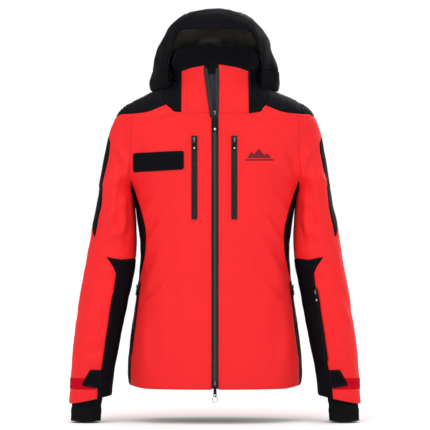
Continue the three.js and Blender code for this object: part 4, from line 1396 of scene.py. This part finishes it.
def wrist_surface(angle, height):
    wide = 32.3 + 0.7 * (height + 72) / 97
    x = 284.2 - 4.7 * (height + 72) / 97 + wide * np.cos(angle)
    y = sleeve_middle(height) - 1 + (wide + 4) * np.sin(angle)
    return np.stack([x, y, height + 0 * x], -1)


GAITER_FOOT, GAITER_TOP, GAITER_RIBS = -71, 20, 60


def gaiter(name):
    """A knitted wrist tube inside the cuff, ribbed lengthways and a little crumpled."""
    around, heights = 4 * GAITER_RIBS, np.r_[np.arange(GAITER_FOOT, GAITER_TOP, 1.6), GAITER_TOP]
    at, angle = rings(wrist_surface, heights, around)
    cloth = sheet(at, lattice(len(heights), around, True)).face()
    turn = np.tile(angle, len(heights))
    z = cloth.at[:, 2]
    hem = 1 - smoothstep(GAITER_FOOT, -66.5, z)
    push = 0.32 * np.cos(turn * GAITER_RIBS) * (1 - hem) + 0.4
    push += 0.9 * np.sin(z / 4.4 + 1.3 * np.sin(turn * 2 + 0.7)) * smoothstep(-64, -40, z)
    push += 0.6 * hem
    cloth.data[:, :3] += cloth.normal * push[:, None]
    if SIDES[name] < 0:
        cloth = mirror_image(cloth)
    knit = mesh_object(f"knit_gaiter_{name}", [(*thick(cloth.face(), 1.8), MATERIAL["knit"])])
    settle(knit, f"forearm_{name}", f"wrist_gaiter_{name}")


# ------------------------------------------------------------------ inside the jacket
SKIRT_HEM, SKIRT_TOP = 48, 188
SKIRT_INSET, SKIRT_EDGE = 14.6, 21  # inside the shell, and either side of the front zip
SKIRT_GATHERS = 34


def powder_skirt(torso):
    """The snow skirt inside the hem: a sheet gathered on an elastic edge."""
    inner = pushed(torso, 0).relax(6).face()
    band = inner.split(inner.at[:, 2] - SKIRT_HEM)[0]
    band = band.split(SKIRT_TOP - band.at[:, 2])[0]
    band = without(band, np.abs(band.at[:, 0]) - SKIRT_EDGE)
    z = band.at[:, 2]
    turn = np.arctan2(band.at[:, 1], band.at[:, 0])
    near_hem = 1 - smoothstep(60, 130, z)
    ruffle = 1.6 * np.sin(turn * SKIRT_GATHERS + 1.5 * np.sin(turn * 5)) * near_hem
    band.data[:, :3] -= band.normal * (SKIRT_INSET - ruffle)[:, None]
    skirt = mesh_object("snow_skirt", [(*thick(band.face(), 0.8), MATERIAL["satin"])])
    settle(skirt, "torso", "powder_skirt")


def hanger_loop():
    """A woven loop at the back of the neck."""
    reach, drop, tall, back_y, foot = 30, 9, 8, 66.5, 684
    across = np.linspace(-reach, reach, 41)
    depth = back_y - drop * (1 - (across / reach) ** 2)
    rows = np.linspace(0, tall, 6)
    at = np.array([[x, y, foot + h] for h in rows for x, y in zip(across, depth)])
    ribbon = sheet(at, lattice(len(rows), len(across))).face()
    sewn("neck_hanger_loop", ribbon, "webbing", "torso", "hanger_loop", 1.3, 0.2, (1.5,))


# ------------------------------------------------------------------ stage
WORLD_LIGHT = 0.42


def light_world(tree):
    """A white room that is dimmer as a light than it looks, as a lit backdrop is."""
    nodes, links = tree.nodes, tree.links
    seen, lit = nodes["Background"], nodes.new("ShaderNodeBackground")
    for background, strength in ((seen, 1.0), (lit, WORLD_LIGHT)):
        background.inputs["Color"].default_value = (1, 1, 1, 1)
        background.inputs["Strength"].default_value = strength
    path, mix = nodes.new("ShaderNodeLightPath"), nodes.new("ShaderNodeMixShader")
    links.new(path.outputs["Is Camera Ray"], mix.inputs["Fac"])
    links.new(lit.outputs["Background"], mix.inputs[1])
    links.new(seen.outputs["Background"], mix.inputs[2])
    links.new(mix.outputs["Shader"], nodes["World Output"].inputs["Surface"])


def add_lamp(light, toward, place=(0, 0, 0)):
    lamp = bpy.data.objects.new(light.name, light)
    lamp.location = place
    lamp.rotation_euler = Vector(toward).to_track_quat("Z", "Y").to_euler()
    bpy.context.collection.objects.link(lamp)


def make_stage():
    floor_mesh = bpy.data.meshes.new("floor")
    size, low = 6.0, cad_box[0][2] - 0.004
    floor_mesh.from_pydata([(-size, -size, low), (size, -size, low), (size, size, low),
                            (-size, size, low)], [], [(0, 1, 2, 3)])
    floor_shader = Shader("pale_floor", (0.97, 0.97, 0.97), 0.9, 0.0)
    floor_mesh.materials.append(floor_shader.mottle(400, 0.01).material)
    floor = bpy.data.objects.new("floor", floor_mesh)
    bpy.context.collection.objects.link(floor)
    world = bpy.data.worlds.new("studio")
    world.use_nodes = True
    light_world(world.node_tree)
    bpy.context.scene.world = world
    for name, toward, degrees, power in (("overhead", (0.0, -0.15, 1.0), 50, 1.6),
                                         ("back", (0.35, 0.85, 0.4), 50, 1.3)):
        light = bpy.data.lights.new(name, "SUN")
        light.angle, light.energy = math.radians(degrees), power
        add_lamp(light, toward)
    for name, place, wide, power in (("key", (-0.9, -2.2, 1.3), 1.3, 19),
                                     ("fill", (1.3, -2.2, 0.9), 1.3, 9)):
        light = bpy.data.lights.new(name, "AREA")
        light.size, light.energy = wide, power
        add_lamp(light, Vector(place) - Vector((0, 0, -0.2)), place)
    bpy.context.scene.view_settings.view_transform = "Standard"


def make_camera():
    """Level with the waist, with a long lens, as the photograph of such a jacket is taken."""
    distance, width, eye = 7.0, 0.946, to_frame([0, 0, 380.6])[2]
    camera = bpy.data.objects.new("camera", bpy.data.cameras.new("camera"))
    camera.location = (0, -distance, eye)
    camera.rotation_euler = (math.pi / 2, 0, 0)
    camera.data.lens = camera.data.sensor_width * (distance - 0.05) / width
    bpy.context.collection.objects.link(camera)
    bpy.context.scene.camera = camera


# ------------------------------------------------------------------ the whole jacket
make_camera()
make_stage()
form = garment()
sleeves, torso = form.split(form.data[:, GAP])
make_body(torso)
front = Ground(torso)
for zip_name in POCKET_ZIPS:
    pocket_zip(zip_name)
for zip_name in ZIPS:
    hardware(zip_name)
storm_flap()
badge(front)
emblem(front)
powder_skirt(torso)
hanger_loop()
for side_name, side_sign in SIDES.items():
    front_zip_half(side_name)
    sleeve = one_side(sleeves, side_sign)
    make_sleeve(sleeve, side_name)
    cuff(side_name, Ground(sleeve))
make_hood()
